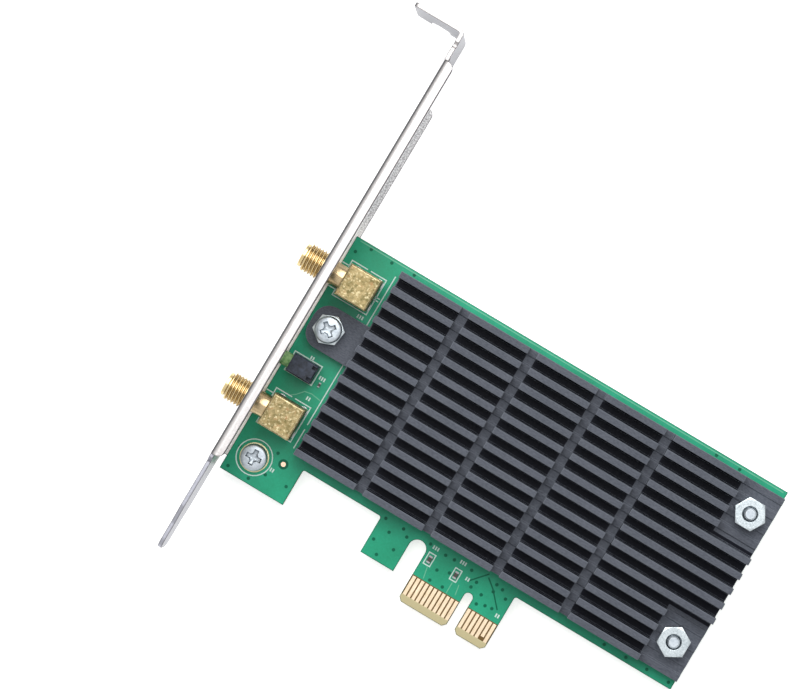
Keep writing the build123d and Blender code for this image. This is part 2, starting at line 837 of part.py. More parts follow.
with BuildPart() as hex_collar:
    with BuildSketch(Plane.XY.offset(gap_floor_z)):
        with Locations(Location((screw_x, upper_screw_y, 0), (0, 0, collar_turn))):
            RegularPolygon(collar_flats / 2, 6, major_radius=False)
    extrude(amount=collar_height)
    with BuildSketch(Plane.XY.offset(board_thickness)):
        with Locations((screw_x, upper_screw_y)):
            Circle(collar_sleeve_diameter / 2)
    extrude(amount=heatsink_gap + heatsink_base)
    with BuildSketch(Plane.XY.offset(board_thickness)):
        with Locations((screw_x, upper_screw_y)):
            Circle(thread_diameter / 2 + board_hole_clearance)
    extrude(amount=heatsink_gap + heatsink_base + collar_height, mode=Mode.SUBTRACT)
finish_piece(hex_collar, "hex_collar")

with BuildPart() as ground_pad:
    with BuildSketch(Plane.XY.offset(board_thickness)):
        with Locations((screw_x, lower_screw_y)):
            Circle(ground_pad_diameter / 2)
            Circle(board_hole_diameter / 2, mode=Mode.SUBTRACT)
    extrude(amount=ground_pad_thickness)
finish_piece(ground_pad, "ground_pad")

nut_top_z = cut_floor_z + nut_height
bolt_top_z = nut_top_z + bolt_tip_length

with BuildPart() as heatsink_bolts:
    with BuildSketch(Plane.XY):
        with Locations(*bolt_places):
            Circle(bolt_head_diameter / 2)
    extrude(amount=-bolt_head_height)
    with BuildSketch(Plane.XY):
        with Locations(*bolt_places):
            Circle(bolt_diameter / 2)
    extrude(amount=bolt_top_z)
    with BuildSketch(Plane.XY.offset(-bolt_head_height)):
        with Locations(*bolt_places):
            Rectangle(recess_length, recess_width)
            Rectangle(recess_width, recess_length)
    extrude(amount=recess_depth, mode=Mode.SUBTRACT)
finish_piece(heatsink_bolts, "heatsink_bolts")

with BuildPart() as bolt_spacers:
    with BuildSketch(Plane.XY.offset(board_thickness)):
        with Locations(*bolt_places):
            Rectangle(spacer_side, spacer_side)
            Circle(bolt_hole_diameter / 2, mode=Mode.SUBTRACT)
    extrude(amount=heatsink_gap)
finish_piece(bolt_spacers, "bolt_spacers")

with BuildPart() as heatsink_nuts:
    for (nut_x, nut_y), turn in zip(bolt_places, (lower_nut_turn, upper_nut_turn)):
        with BuildSketch(Plane.XY.offset(cut_floor_z)):
            with Locations(Location((nut_x, nut_y, 0), (0, 0, turn))):
                RegularPolygon(nut_flats / 2, 6, major_radius=False)
            with Locations((nut_x, nut_y)):
                Circle(bolt_diameter / 2 + thread_clearance, mode=Mode.SUBTRACT)
        extrude(amount=nut_height)
    thread_mouths = (
        heatsink_nuts.faces()
        .filter_by(Axis.Z)
        .group_by(Axis.Z)[-1]
        .edges()
        .filter_by(GeomType.CIRCLE)
    )
    chamfer(thread_mouths, length=nut_chamfer)
finish_piece(heatsink_nuts, "heatsink_nuts")
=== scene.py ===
"""Looks of a plug-in wireless card: green board, black finned heatsink, gold jacks, zinc bracket.

Every length in this file is in millimetres of the part's own frame, and becomes metres only when a
mesh, a lamp or the camera is made.
"""

import logging
import math
import random
from collections.abc import Callable, Sequence
from dataclasses import dataclass, field
from enum import Enum
from functools import cached_property, reduce

import bmesh
import bpy
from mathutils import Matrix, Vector


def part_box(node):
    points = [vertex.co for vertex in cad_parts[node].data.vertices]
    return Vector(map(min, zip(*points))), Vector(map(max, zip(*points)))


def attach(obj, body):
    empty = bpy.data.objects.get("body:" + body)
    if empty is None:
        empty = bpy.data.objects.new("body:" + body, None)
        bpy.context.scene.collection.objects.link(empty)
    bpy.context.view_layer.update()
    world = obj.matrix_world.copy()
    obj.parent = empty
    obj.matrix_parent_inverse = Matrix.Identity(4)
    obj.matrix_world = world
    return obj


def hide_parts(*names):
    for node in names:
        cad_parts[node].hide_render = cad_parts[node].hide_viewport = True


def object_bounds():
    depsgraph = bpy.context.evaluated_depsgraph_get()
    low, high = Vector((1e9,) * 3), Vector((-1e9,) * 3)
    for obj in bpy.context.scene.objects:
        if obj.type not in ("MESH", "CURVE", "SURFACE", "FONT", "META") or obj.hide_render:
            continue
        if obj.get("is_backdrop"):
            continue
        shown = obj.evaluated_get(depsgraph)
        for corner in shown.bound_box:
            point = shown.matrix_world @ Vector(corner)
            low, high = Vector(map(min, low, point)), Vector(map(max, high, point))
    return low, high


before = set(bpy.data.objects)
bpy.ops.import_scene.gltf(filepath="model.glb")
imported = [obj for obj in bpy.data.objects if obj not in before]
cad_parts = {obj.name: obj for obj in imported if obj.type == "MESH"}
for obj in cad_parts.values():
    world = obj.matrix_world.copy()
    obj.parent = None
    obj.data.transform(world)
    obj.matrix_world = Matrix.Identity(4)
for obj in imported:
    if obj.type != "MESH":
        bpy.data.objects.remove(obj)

MM = 0.001
# A limit past every value that is compared.
FAR = 1000.0

Point = tuple[float, float, float]
Place = tuple[float, float]
Station = Callable[[float], Place]
Node = bpy.types.Node
Socket = bpy.types.NodeSocket
Value = Node | Socket | float | str

log = logging.getLogger("wireless_card")


def srgb_to_linear(colour: str) -> tuple[float, float, float, float]:
    """Turn an sRGB hex colour into the linear values that a shader takes.

    Args:
        colour: Six hex digits after a hash sign.

    Returns:
        Red, green, blue and an alpha of one.
    """
    parts = [int(colour[i:i + 2], 16) / 255 for i in (1, 3, 5)]
    linear = [c / 12.92 if c <= 0.04045 else ((c + 0.055) / 1.055) ** 2.4 for c in parts]
    return (linear[0], linear[1], linear[2], 1.0)


class GrainRun(Enum):
    """Way in which a surface's grain is drawn out, as a factor on each axis."""

    ALL_ROUND = (1.0, 1.0, 1.0)
    ALONG_X = (0.04, 1.0, 1.0)
    ALONG_X_SHORT = (0.35, 1.0, 1.0)
    ALONG_Y = (1.0, 0.06, 1.0)
    ROUND_X = (1.0, 0.12, 0.12)


class JackSide(Enum):
    """The two antenna jacks, by the ending of their nodes' names."""

    UPPER = "upper"
    LOWER = "lower"


@dataclass(frozen=True)
class Extent:
    """Lowest and highest corners of one CAD node."""

    low: Vector
    high: Vector

    @classmethod
    def of(cls, node: str) -> "Extent":
        """Read a node's corners from the frame."""
        low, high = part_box(node)
        return cls(low / MM, high / MM)

    @property
    def middle(self) -> Vector:
        """Point halfway between the two corners."""
        return (self.low + self.high) / 2


class Canvas:
    """The node tree of a material or a world, emptied and ready for nodes."""

    def __init__(self, owner: bpy.types.Material | bpy.types.World) -> None:
        """Empty the owner's tree.

        Args:
            owner: The material or the world whose tree is the canvas.
        """
        owner.use_nodes = True
        self.tree = owner.node_tree
        self.tree.nodes.clear()

    def add(self, kind: str, inputs: dict | None = None, **settings: object) -> Node:
        """Add one shader node, set its fields, and fill or link its inputs.

        Args:
            kind: Blender's name of the node's type, without ShaderNode in front.
            inputs: Input name or index, and what goes there: a plain value, a hex colour, a
                socket, or a node, which stands for its first output.
            settings: Fields of the node itself.

        Returns:
            The new node.
        """
        node = self.tree.nodes.new("ShaderNode" + kind)
        for key, value in settings.items():
            setattr(node, key, value)
        for key, value in (inputs or {}).items():
            source = value.outputs[0] if isinstance(value, Node) else value
            if isinstance(source, Socket):
                self.tree.links.new(source, node.inputs[key])
            elif isinstance(source, str):
                node.inputs[key].default_value = srgb_to_linear(source)
            else:
                node.inputs[key].default_value = source
        return node

    def lay(self, colour: Value, *layers: tuple[Value, Value]) -> Value:
        """Lay colours over one another, each where its own share is 1.

        Args:
            colour: The lowest colour.
            layers: Each layer's share and its colour, from the lowest to the top.

        Returns:
            The colour that shows.
        """
        for share, over in layers:
            mix = self.add("Mix", {0: share, 6: colour, 7: over}, data_type="RGBA")
            colour = mix.outputs[2]
        return colour

    def between(self, value: Value, low: float = -FAR, high: float = FAR) -> Node:
        """Give 1 where a value lies between the limits that are given, and 0 elsewhere."""
        limits = {0: value, 1: (low + high) / 2, 2: (high - low) / 2}
        return self.add("Math", limits, operation="COMPARE")

    def all_of(self, *shares: Value) -> Value:
        """Multiply shares, so that all of them have to hold."""
        return reduce(lambda a, b: self.add("Math", {0: a, 1: b}, operation="MULTIPLY"), shares)

    def any_of(self, *shares: Value) -> Value:
        """Take the largest of the shares, so that one of them is enough."""
        return reduce(lambda a, b: self.add("Math", {0: a, 1: b}, operation="MAXIMUM"), shares)

    def seen_directly(self) -> Value:
        """Tell rays that show a surface from those that only light it.

        Returns:
            1 for rays from the camera, from a gloss and through glass, and 0 for others.
        """
        rays = self.add("LightPath").outputs
        kinds = ("Camera", "Glossy", "Transmission")
        return self.any_of(*(rays[f"Is {kind} Ray"] for kind in kinds))


class Surface(Canvas):
    """A material's canvas, which knows each shaded point's place and the finish's grain."""

    def __init__(self, material: bpy.types.Material, grain_mm: float, run: GrainRun) -> None:
        """Find each point's place in the part's frame, in millimetres, and draw the grain.

        Args:
            material: The material whose tree is the canvas.
            grain_mm: Size of the grain.
            run: Way in which the grain is drawn out.
        """
        super().__init__(material)
        metres = self.add("TexCoord").outputs["Object"]
        self.place = self.add("VectorMath", {0: metres, 1: (1 / MM,) * 3}, operation="MULTIPLY")
        self.grain = self.mottle(grain_mm, run)

    @cached_property
    def axes(self) -> Sequence[Socket]:
        """X, Y and Z of the shaded point, in millimetres."""
        return self.add("SeparateXYZ", {0: self.place}).outputs

    @cached_property
    def facing(self) -> Sequence[Socket]:
        """Say how squarely the surface faces each axis, in either direction.

        Returns:
            The shares for X, Y and Z.
        """
        normal = self.add("NewGeometry").outputs["Normal"]
        squarely = self.add("VectorMath", {0: normal}, operation="ABSOLUTE")
        return self.add("SeparateXYZ", {0: squarely}).outputs

    def mottle(
        self,
        size_mm: float,
        run: GrainRun = GrainRun.ALL_ROUND,
        detail: float = 3.0,
        shift: Point = (0.0, 0.0, 0.0),
    ) -> Node:
        """Draw soft random patches of a real size.

        Args:
            size_mm: Size of one patch.
            run: Way in which the patches are drawn out.
            detail: How many finer layers lie over the patches.
            shift: How far the pattern is moved, so that two of one size differ.

        Returns:
            A share that runs from 0 to 1.
        """
        place = self.place
        if any(shift):
            place = self.add("VectorMath", {0: place, 1: shift}, operation="ADD")
        drawn_out = self.add("VectorMath", {0: place, 1: run.value}, operation="MULTIPLY")
        scale = {"Vector": drawn_out, "Scale": 1 / size_mm, "Detail": detail}
        noise = self.add("TexNoise", scale)
        return self.add("MapRange", {"Value": noise, "From Min": 0.3, "From Max": 0.7})

    def edges(self, radius_mm: float) -> tuple[Node, Node]:
        """Soften the edges' shading and say where the edges are.

        Args:
            radius_mm: How wide the softening is.

        Returns:
            The softened normal, and a share that is 1 on an edge.
        """
        soft = self.add("Bevel", {"Radius": radius_mm * MM}, samples=6)
        sharp = self.add("NewGeometry").outputs["Normal"]
        alike = self.add("VectorMath", {0: soft, 1: sharp}, operation="DOT_PRODUCT")
        limits = {"Value": alike.outputs["Value"], "From Min": 0.995, "From Max": 0.85}
        return soft, self.add("MapRange", limits)

    def crevices(self, reach_mm: float) -> Node:
        """Give 1 where a point is shut in by its own piece, and 0 in the open.

        Args:
            reach_mm: How far round the point its own piece counts.

        Returns:
            The share.
        """
        reach = {"Distance": reach_mm * MM}
        shelter = self.add("AmbientOcclusion", reach, samples=8, only_local=True)
        limits = {"Value": shelter.outputs["AO"], "From Min": 0.88, "From Max": 0.35}
        return self.add("MapRange", limits)


@dataclass(frozen=True)
class Finish:
    """A surface of one material: patches, grain, softened edges, painted edge highlight or shade,
    painted crevice shade.
    """

    name: str
    colour: str
    shade: str
    metallic: float = 0.0
    roughness: float = 0.4
    roughness_spread: float = 0.1
    grain_mm: float = 0.5
    grain_share: float = 0.5
    patch_mm: float = 6.0
    run: GrainRun = GrainRun.ALL_ROUND
    bump_mm: float = 0.004
    edge_mm: float = 0.08
    painted_edge_shading: str = ""
    crevice_mm: float = 0.3
    painted_crevice_shade: str = ""
    specular: float = 0.5
    transmission: float = 0.0

    def tone(self, surface: Surface) -> Value:
        """Mix the finish's two tones by its patches and its grain.

        Args:
            surface: What the finish is laid on.

        Returns:
            The base colour.
        """
        patches = surface.mottle(self.patch_mm)
        shares = {0: self.grain_share, 2: patches, 3: surface.grain}
        share = surface.add("Mix", shares, data_type="FLOAT")
        return surface.lay(self.shade, (share, self.colour))

    def material(self) -> bpy.types.Material:
        """Build the finish's material, or find it where it is built already.

        Returns:
            The material.
        """
        known = bpy.data.materials.get(self.name)
        if known:
            return known
        material = bpy.data.materials.new(self.name)
        surface = Surface(material, self.grain_mm, self.run)
        colour = self.tone(surface)
        normal, edge = surface.edges(self.edge_mm)
        # Edges take a painted highlight or a painted shade line, by the finish's edge colour.
        if self.painted_edge_shading:
            colour = surface.lay(colour, (edge, self.painted_edge_shading))
        # Hollows shut in by the piece itself take a painted shade.
        if self.painted_crevice_shade:
            crevices = surface.crevices(self.crevice_mm)
            colour = surface.lay(colour, (crevices, self.painted_crevice_shade))
        relief = {"Height": surface.grain, "Distance": self.bump_mm * MM, "Normal": normal}
        spread = {
            "Value": surface.grain,
            "To Min": self.roughness - self.roughness_spread / 2,
            "To Max": self.roughness + self.roughness_spread / 2,
        }
        shader = surface.add(
            "BsdfPrincipled",
            {
                "Base Color": colour,
                "Metallic": self.metallic,
                "Roughness": surface.add("MapRange", spread),
                "Normal": surface.add("Bump", relief),
                "Specular IOR Level": self.specular,
                "Transmission Weight": self.transmission,
            },
        )
        surface.add("OutputMaterial", {0: shader})
        return material


@dataclass(frozen=True)
class SolderMask(Finish):
    """Green epoxy mask over copper and glass cloth, left off round the edge connector."""

    laminate: str = "#b9a87c"
    bare_tip: str = "#dcd0a2"
    finger_gap: str = "#72572a"
    cloth_mm: float = 0.42
    cloth_share: float = 0.06
    tip_length: float = 1.6
    finger_end: float = 6.1
    connector_left: float = -12.3
    side_facing: float = 0.5

    def tone(self, surface: Surface) -> Value:
        """Lay the mask's green, the bare strip at the connector's tip and the laminate's edge.

        Args:
            surface: What the finish is laid on.

        Returns:
            The base colour.
        """
        x, y, _ = surface.axes
        both, between = surface.all_of, surface.between
        cloth = surface.add("TexChecker", {"Vector": surface.place, "Scale": 1 / self.cloth_mm})
        true_normal = surface.add("NewGeometry").outputs["True Normal"]
        upward = surface.add("SeparateXYZ", {0: true_normal}).outputs[2]
        layers = (
            (both(cloth.outputs["Fac"], self.cloth_share), self.shade),
            (
                both(between(y, high=self.finger_end), between(x, low=self.connector_left)),
                self.finger_gap,
            ),
            (between(y, high=self.tip_length), self.bare_tip),
            (between(upward, -self.side_facing, self.side_facing), self.laminate),
        )
        return surface.lay(super().tone(surface), *layers)


@dataclass(frozen=True)
class Stain:
    """One layer of soft spots: where the noise starts and fills them, and how much they cover."""

    colour: str
    size_mm: float
    start: float
    full: float
    cover: float


@dataclass(frozen=True)
class MottledPlate(Finish):
    """Gold plate over tumbled brass: olive stains, a little copper red and pale flecks."""

    stains: tuple[Stain, ...] = (
        Stain("#5c5636", 2.1, 0.5, 1.0, 0.6),
        Stain("#5c5636", 0.7, 0.42, 0.85, 0.75),
        Stain("#a07855", 1.19, 0.7, 0.95, 0.5),
        Stain("#dccfa8", 0.48, 0.62, 0.95, 0.6),
    )
    shift: Point = (7.3, 3.1, 1.7)

    def tone(self, surface: Surface) -> Value:
        """Lay the stains and the flecks over the plate.

        Args:
            surface: What the finish is laid on.

        Returns:
            The base colour.
        """
        plate = super().tone(surface)
        for k, stain in enumerate(self.stains):
            shift = (self.shift[0] * k, *self.shift[1:])
            spots = surface.mottle(stain.size_mm, detail=4.0, shift=shift)
            limits = {"From Min": stain.start, "From Max": stain.full, "To Max": stain.cover}
            share = surface.add("MapRange", {"Value": spots, **limits})
            plate = surface.lay(plate, (share, stain.colour))
        return plate


@dataclass(frozen=True)
class FoldedSheet(Finish):
    """Plated sheet: bright upper flange, darker bluish walls (painted light and shade), painted
    shade on the bend.
    """

    upright: str = "#b5b6bc"
    upright_shade: str = "#8c8d94"
    lower_flange: str = "#ffffff"
    lower_flange_shade: str = "#8a898a"
    pebble_mm: float = 0.29
    painted_light_beside_board: str = "#fffcf6"
    raw: str = "#a3a4ad"
    painted_bend_shade: str = "#38373b"
    tab_end: str = "#54555d"
    tab_cover: float = 0.5
    tab_full: float = 94.0
    tab_fade: float = 86.0
    painted_rim_shade: str = "#5f5b5d"
    board_middle: float = 34.0
    board_half: float = 20.0
    board_fade: float = 31.0
    flange_inside: float = -0.3
    board_face: float = 1.6
    upper_half: float = 8.0
    upper_flange: float = 15.8
    outer_wall: float = -58.2
    inner_wall: float = -58.4
    free_edge: float = -56.49
    rim_width: float = 0.24
    level_facing: float = 0.3
    wall_facing: float = 0.9
    bend_facing: Place = (0.5, 0.8)
    bend_slope: Place = (0.03, 0.97)

    def tone(self, surface: Surface) -> Value:
        """Lay the walls, tab end, flanges, painted light beside the board, sheared edges, and
        painted rim and bend shade.

        Args:
            surface: What the finish is laid on.

        Returns:
            The base colour.
        """
        x, y, z = surface.axes
        across, _, upward = surface.facing
        both, between = surface.all_of, surface.between
        toward_tab = surface.add(
            "MapRange",
            {"Value": y, "From Min": self.tab_fade, "From Max": self.tab_full,
             "To Max": self.tab_cover},
        )
        level_face = between(upward, low=self.level_facing)
        above = both(between(z, low=self.upper_flange), level_face)
        below = both(between(z, high=self.board_face), level_face)
        pebbles = surface.mottle(self.pebble_mm)
        pebbled = surface.lay(self.lower_flange_shade, (pebbles, self.lower_flange))
        beside = self.beside(surface)
        in_gap = both(beside, level_face, between(z, self.flange_inside, self.board_face))
        inside = both(
            beside,
            between(z, low=self.board_face),
            between(across, low=self.wall_facing),
            between(x, low=self.inner_wall),
        )
        sheared = both(between(z, self.board_face, self.upper_flange), level_face)
        on_rim = both(above, between(x, low=self.free_edge - self.rim_width))
        start, full = self.bend_facing
        bent = both(
            surface.add("MapRange", {"Value": across, "From Min": start, "From Max": full}),
            between(x, high=self.outer_wall),
            between(upward, *self.bend_slope),
            between(z, low=self.upper_half),
        )
        layers = (
            (toward_tab, self.tab_end),
            # The level upper flange is lighter than the walls: painted light and shade on one
            # sheet.
            (above, super().tone(surface)),
            (below, pebbled),
            # Painted light in the gap and on the inner wall beside the board.
            (in_gap, self.painted_light_beside_board),
            (inside, self.painted_light_beside_board),
            (sheared, self.raw),
            # Painted shadow along the upper flange's free edge.
            (on_rim, self.painted_rim_shade),
            # Painted shade along the outer bend.
            (bent, self.painted_bend_shade),
        )
        return surface.lay(self.upright_shade, (surface.grain, self.upright), *layers)

    def beside(self, surface: Surface) -> Node:
        """Give 1 beside the board, fading to 0 past both of its ends.

        Args:
            surface: What the finish is laid on.

        Returns:
            The share.
        """
        along = surface.axes[1]
        offset = surface.add("Math", {0: along, 1: self.board_middle}, operation="SUBTRACT")
        distance = surface.add("Math", {0: offset}, operation="ABSOLUTE")
        limits = {"Value": distance, "From Min": self.board_fade, "From Max": self.board_half}
        return surface.add("MapRange", limits)


@dataclass(frozen=True)
class TurnedGold(Finish):
    """Gold plate on a turned part, pinker and duller on the neck inside the bracket."""

    neck: str = "#c6b08a"
    neck_start: float = -58.17

    def tone(self, surface: Surface) -> Value:
        """Lay the barrel's gold outside the bracket and the neck's gold inside it."""
        inside = surface.between(surface.axes[0], low=self.neck_start)
        return surface.lay(super().tone(surface), (inside, self.neck))


@dataclass(frozen=True)
class FinnedBlack(Finish):
    """Black anodising, with painted shade in black on the fins' flanks and the floors between them.
    """

    painted_gap_shade: str = "#060a17"
    floor_height: float = 4.62
    flank_foot: float = 4.77
    comb_left: float = -45.2
    comb_middle: float = 36.45
    comb_half: float = 21.2
    cut_place: float = -30.0
    cut_pitch: float = 16.0
    cut_half: float = 1.05
    last_cut: float = 18.0
    pocket_left: float = 35.5
    pocket_inner: float = 8.65
    flank_facing: float = 0.6

    def tone(self, surface: Surface) -> Value:
        """Paint shade on the fins' flanks and the floors between them, but on no cut and no pocket.

        Args:
            surface: What the finish is laid on.

        Returns:
            The base colour.
        """
        x, y, z = surface.axes
        both, either, between = surface.all_of, surface.any_of, surface.between
        middle, half, inner = self.comb_middle, self.comb_half, self.pocket_inner
        next_cut = self.cut_place + self.cut_pitch
        in_comb = between(y, middle - half, middle + half)
        sideways = between(surface.facing[1], low=self.flank_facing)
        flank = both(in_comb, sideways, between(z, low=self.flank_foot))
        from_cut = surface.add("Math", {0: x, 1: next_cut, 2: self.cut_place}, operation="WRAP")
        off_cuts = either(
            between(from_cut, self.cut_place + self.cut_half, next_cut - self.cut_half),
            between(x, low=self.last_cut + self.cut_half),
        )
        off_pockets = either(
            between(x, self.comb_left, self.pocket_left),
            both(between(x, low=self.pocket_left), between(y, middle - inner, middle + inner)),
        )
        floor = both(in_comb, off_pockets, between(z, 0.0, self.floor_height), off_cuts)
        # Painted shade, near black, on the flanks and the floors between the fins.
        return surface.lay(super().tone(surface), (either(flank, floor), self.painted_gap_shade))


@dataclass(frozen=True)
class EndCappedChip(Finish):
    """Fired ceramic body with tinned ends, for chip parts that lie lengthways along Y."""

    ends: str = "#c9ccce"
    body_start: float = -0.5
    body_end: float = 0.5

    def tone(self, surface: Surface) -> Value:
        """Colour the body, and the tin beyond its two ends."""
        body = surface.between(surface.axes[1], self.body_start, self.body_end)
        return surface.lay(self.ends, (body, super().tone(surface)))


# The real grain of most of these finishes is too fine to show, so grain_mm draws it coarser.

# Glossy photo-imaged epoxy on copper-clad laminate: an even, slightly cloudy green with a wet look,
# and a line of painted shade along the routed edges and round the holes.
SOLDER_MASK = SolderMask(
    "solder_mask_green", "#28b98f", "#1d9e76", roughness=0.34, grain_mm=0.35, grain_share=0.3,
    patch_mm=7.0, bump_mm=0.002, edge_mm=0.42, painted_edge_shading="#155a48", specular=0.3,
)
# The same mask over a bare stretch or a plated hole: darker, because no copper shines through.
SUNKEN_MASK = Finish(
    "solder_mask_dark", "#0d7658", "#0a664b", roughness=0.32, grain_mm=0.2, patch_mm=2.0,
    bump_mm=0.001, edge_mm=0.02, specular=0.15,
)
# The same mask over a raised copper track: lighter than the ground beside it.
RAISED_MASK = Finish(
    "solder_mask_light", "#74cfa9", "#5cbb94", roughness=0.32, grain_mm=0.2, patch_mm=2.0,
    bump_mm=0.001, edge_mm=0.02,
)
# White epoxy ink, screened on: chalky, thin enough for the green to tint it.
BOARD_INK = Finish(
    "board_ink", "#f0fffa", "#d4f6ea", roughness=0.6, grain_mm=0.3, patch_mm=1.5,
    bump_mm=0.002, edge_mm=0.01,
)
# Hard gold over nickel on copper: pale, smooth and bright.
FINGER_GOLD = Finish(
    "finger_gold", "#ecdac0", "#dcc4a2", metallic=1.0, roughness=0.3, grain_mm=0.12,
    patch_mm=1.6, run=GrainRun.ALONG_Y, bump_mm=0.001, edge_mm=0.02,
)
# The same gold under a screw head, scuffed and greenish from the mask round it, with a line of
# painted shade along its edges.
PAD_GOLD = Finish(
    "scuffed_pad_gold", "#d9d2ad", "#b5ae86", metallic=1.0, roughness=0.4, grain_mm=0.2,
    patch_mm=1.2, bump_mm=0.002, edge_mm=0.05, painted_edge_shading="#8d8a66",
)
# Bare copper under flux on the small aiming mark.
BARE_COPPER = Finish(
    "bare_copper", "#efd2bd", "#d9b093", metallic=1.0, roughness=0.4, grain_mm=0.1,
    patch_mm=0.5, bump_mm=0.001, edge_mm=0.02,
)
# Reflowed tin: grey-white, smooth, with soft dimples.
SOLDER_TIN = Finish(
    "solder_tin", "#d5d8da", "#a9adb0", metallic=1.0, roughness=0.32, grain_mm=0.3,
    patch_mm=1.0, bump_mm=0.01, edge_mm=0.04,
)
# Black anodised aluminium, extruded: satin, with a fine rub along the fins, a painted highlight on
# the edges, and painted shade between the fins.
BLACK_ANODISED = FinnedBlack(
    "black_anodised_aluminium", "#70747e", "#4e535d", roughness=0.48, roughness_spread=0.2,
    grain_mm=0.22, grain_share=0.75, patch_mm=9.0, run=GrainRun.ALONG_X_SHORT, bump_mm=0.012,
    edge_mm=0.28, painted_edge_shading="#878d97", specular=0.12,
)
# Gold plate on turned brass: fine turning marks round the axis, painted shade in the thread's
# valleys and a painted highlight along the edges.
TURNED_GOLD = TurnedGold(
    "turned_gold", "#e9d6a8", "#c9b07c", metallic=1.0, roughness=0.19, grain_mm=0.1,
    patch_mm=2.0, run=GrainRun.ROUND_X, bump_mm=0.002, edge_mm=0.05, painted_edge_shading="#fff2d6",
    crevice_mm=0.42, painted_crevice_shade="#8a6a36",
)
# Gold plate on the tumbled block: dull ochre with olive stains, pale flecks and a painted highlight
# on its edges.
BLOCK_GOLD = MottledPlate(
    "tumbled_gold", "#a5956f", "#7e6f4a", metallic=1.0, roughness=0.42, roughness_spread=0.16,
    grain_mm=0.34, patch_mm=1.9, bump_mm=0.005, edge_mm=0.4, painted_edge_shading="#e8d9ae",
)
# Bright zinc on folded steel sheet: near white, finely pebbled, with a faint bluish cast, and a
# line of painted shade along every edge.
ZINC_SHEET = FoldedSheet(
    "zinc_plated_sheet", "#c9c6c5", "#b5b2b1", metallic=1.0, roughness=0.36,
    roughness_spread=0.14, grain_mm=0.26, grain_share=0.6, patch_mm=3.5, bump_mm=0.008,
    edge_mm=0.4, painted_edge_shading="#5a5658",
)
# Zinc on a headed and rolled steel screw: greyer and smoother than the sheet, with painted shade in
# the recess and a painted highlight along its edges.
ZINC_SCREW = Finish(
    "zinc_plated_screw", "#c6cdd3", "#9aa3ab", metallic=1.0, roughness=0.42,
    roughness_spread=0.1, grain_mm=0.4, patch_mm=1.2, bump_mm=0.004, edge_mm=0.08,
    painted_edge_shading="#e6ebef", crevice_mm=0.5, painted_crevice_shade="#5d656c",
)
# Nickel on pressed steel nuts: clean and white, with painted shade in the hollows and a painted
# highlight along the edges.
NICKEL_NUT = Finish(
    "nickel_plated_nut", "#d0d8dc", "#abb5ba", metallic=1.0, roughness=0.3, grain_mm=0.3,
    patch_mm=1.8, bump_mm=0.004, edge_mm=0.1, painted_edge_shading="#dfe6e8", crevice_mm=0.4,
    painted_crevice_shade="#6a777c",
)
# Moulded black nylon: fine matt texture, charcoal under studio light, with a painted highlight on
# its edges.
BLACK_NYLON = Finish(
    "moulded_black_nylon", "#4a5263", "#0c0e13", specular=0.3, roughness=0.45, grain_mm=0.5,
    patch_mm=1.4, bump_mm=0.014, edge_mm=0.14, painted_edge_shading="#565d6a",
)
# Diffused green epoxy, cast: milky and translucent, with paler streaks.
LAMP_EPOXY = Finish(
    "cast_green_epoxy", "#c4efa4", "#2f8446", roughness=0.12, roughness_spread=0.04,
    grain_mm=0.7, grain_share=0.7, patch_mm=0.9, bump_mm=0.02, edge_mm=0.05, transmission=0.2,
)
# Turned fluoropolymer: waxy white.
WHITE_INSULATOR = Finish(
    "white_fluoropolymer", "#eeebe2", "#dedacd", roughness=0.45, grain_mm=0.1, patch_mm=1.0,
    run=GrainRun.ROUND_X, bump_mm=0.003, edge_mm=0.05,
)
# Filled epoxy chip package: near black, sandy, with laser-flat top and a painted highlight on its
# edges.
CHIP_EPOXY = Finish(
    "chip_epoxy", "#33363a", "#292c30", roughness=0.55, grain_mm=0.1, patch_mm=2.0,
    bump_mm=0.005, edge_mm=0.05, painted_edge_shading="#4c5055",
)
# Soft silicone pad: pale grey, slightly dusty.
SOFT_PAD = Finish(
    "silicone_pad", "#a9aeb4", "#92979e", roughness=0.75, grain_mm=0.2, patch_mm=3.0,
    bump_mm=0.02, edge_mm=0.15,
)
# Sintered ferrite: dark grey and gritty.
FERRITE = Finish(
    "sintered_ferrite", "#5b5d61", "#4a4c50", roughness=0.65, grain_mm=0.12, patch_mm=1.0,
    bump_mm=0.015, edge_mm=0.1,
)
# Stamped nickel silver lid of the crystal: satin grey.
CRYSTAL_LID = Finish(
    "crystal_lid", "#cfd1d2", "#b2b5b8", metallic=1.0, roughness=0.35, grain_mm=0.15,
    patch_mm=1.0, run=GrainRun.ALONG_X, bump_mm=0.003, edge_mm=0.1,
)


def dress(node: str, finish: Finish) -> None:
    """Give a CAD node its finish.

    Args:
        node: The node's name.
        finish: The finish for all of its surface.
    """
    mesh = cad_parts[node].data
    material = finish.material()
    if not mesh.materials:
        mesh.materials.append(material)
    for i in range(len(mesh.materials)):
        mesh.materials[i] = material
    log.info("node %s in %s", node, finish.name)


def level(radius: float, distance: float) -> Station:
    """Make a station whose radius and distance are the same all round."""
    return lambda angle: (radius, distance)


def turn_angles(count: int, start: float = 0.0) -> list[float]:
    """Divide one turn into equal steps from a start angle in degrees."""
    return [math.radians(start + 360 * i / count) for i in range(count)]


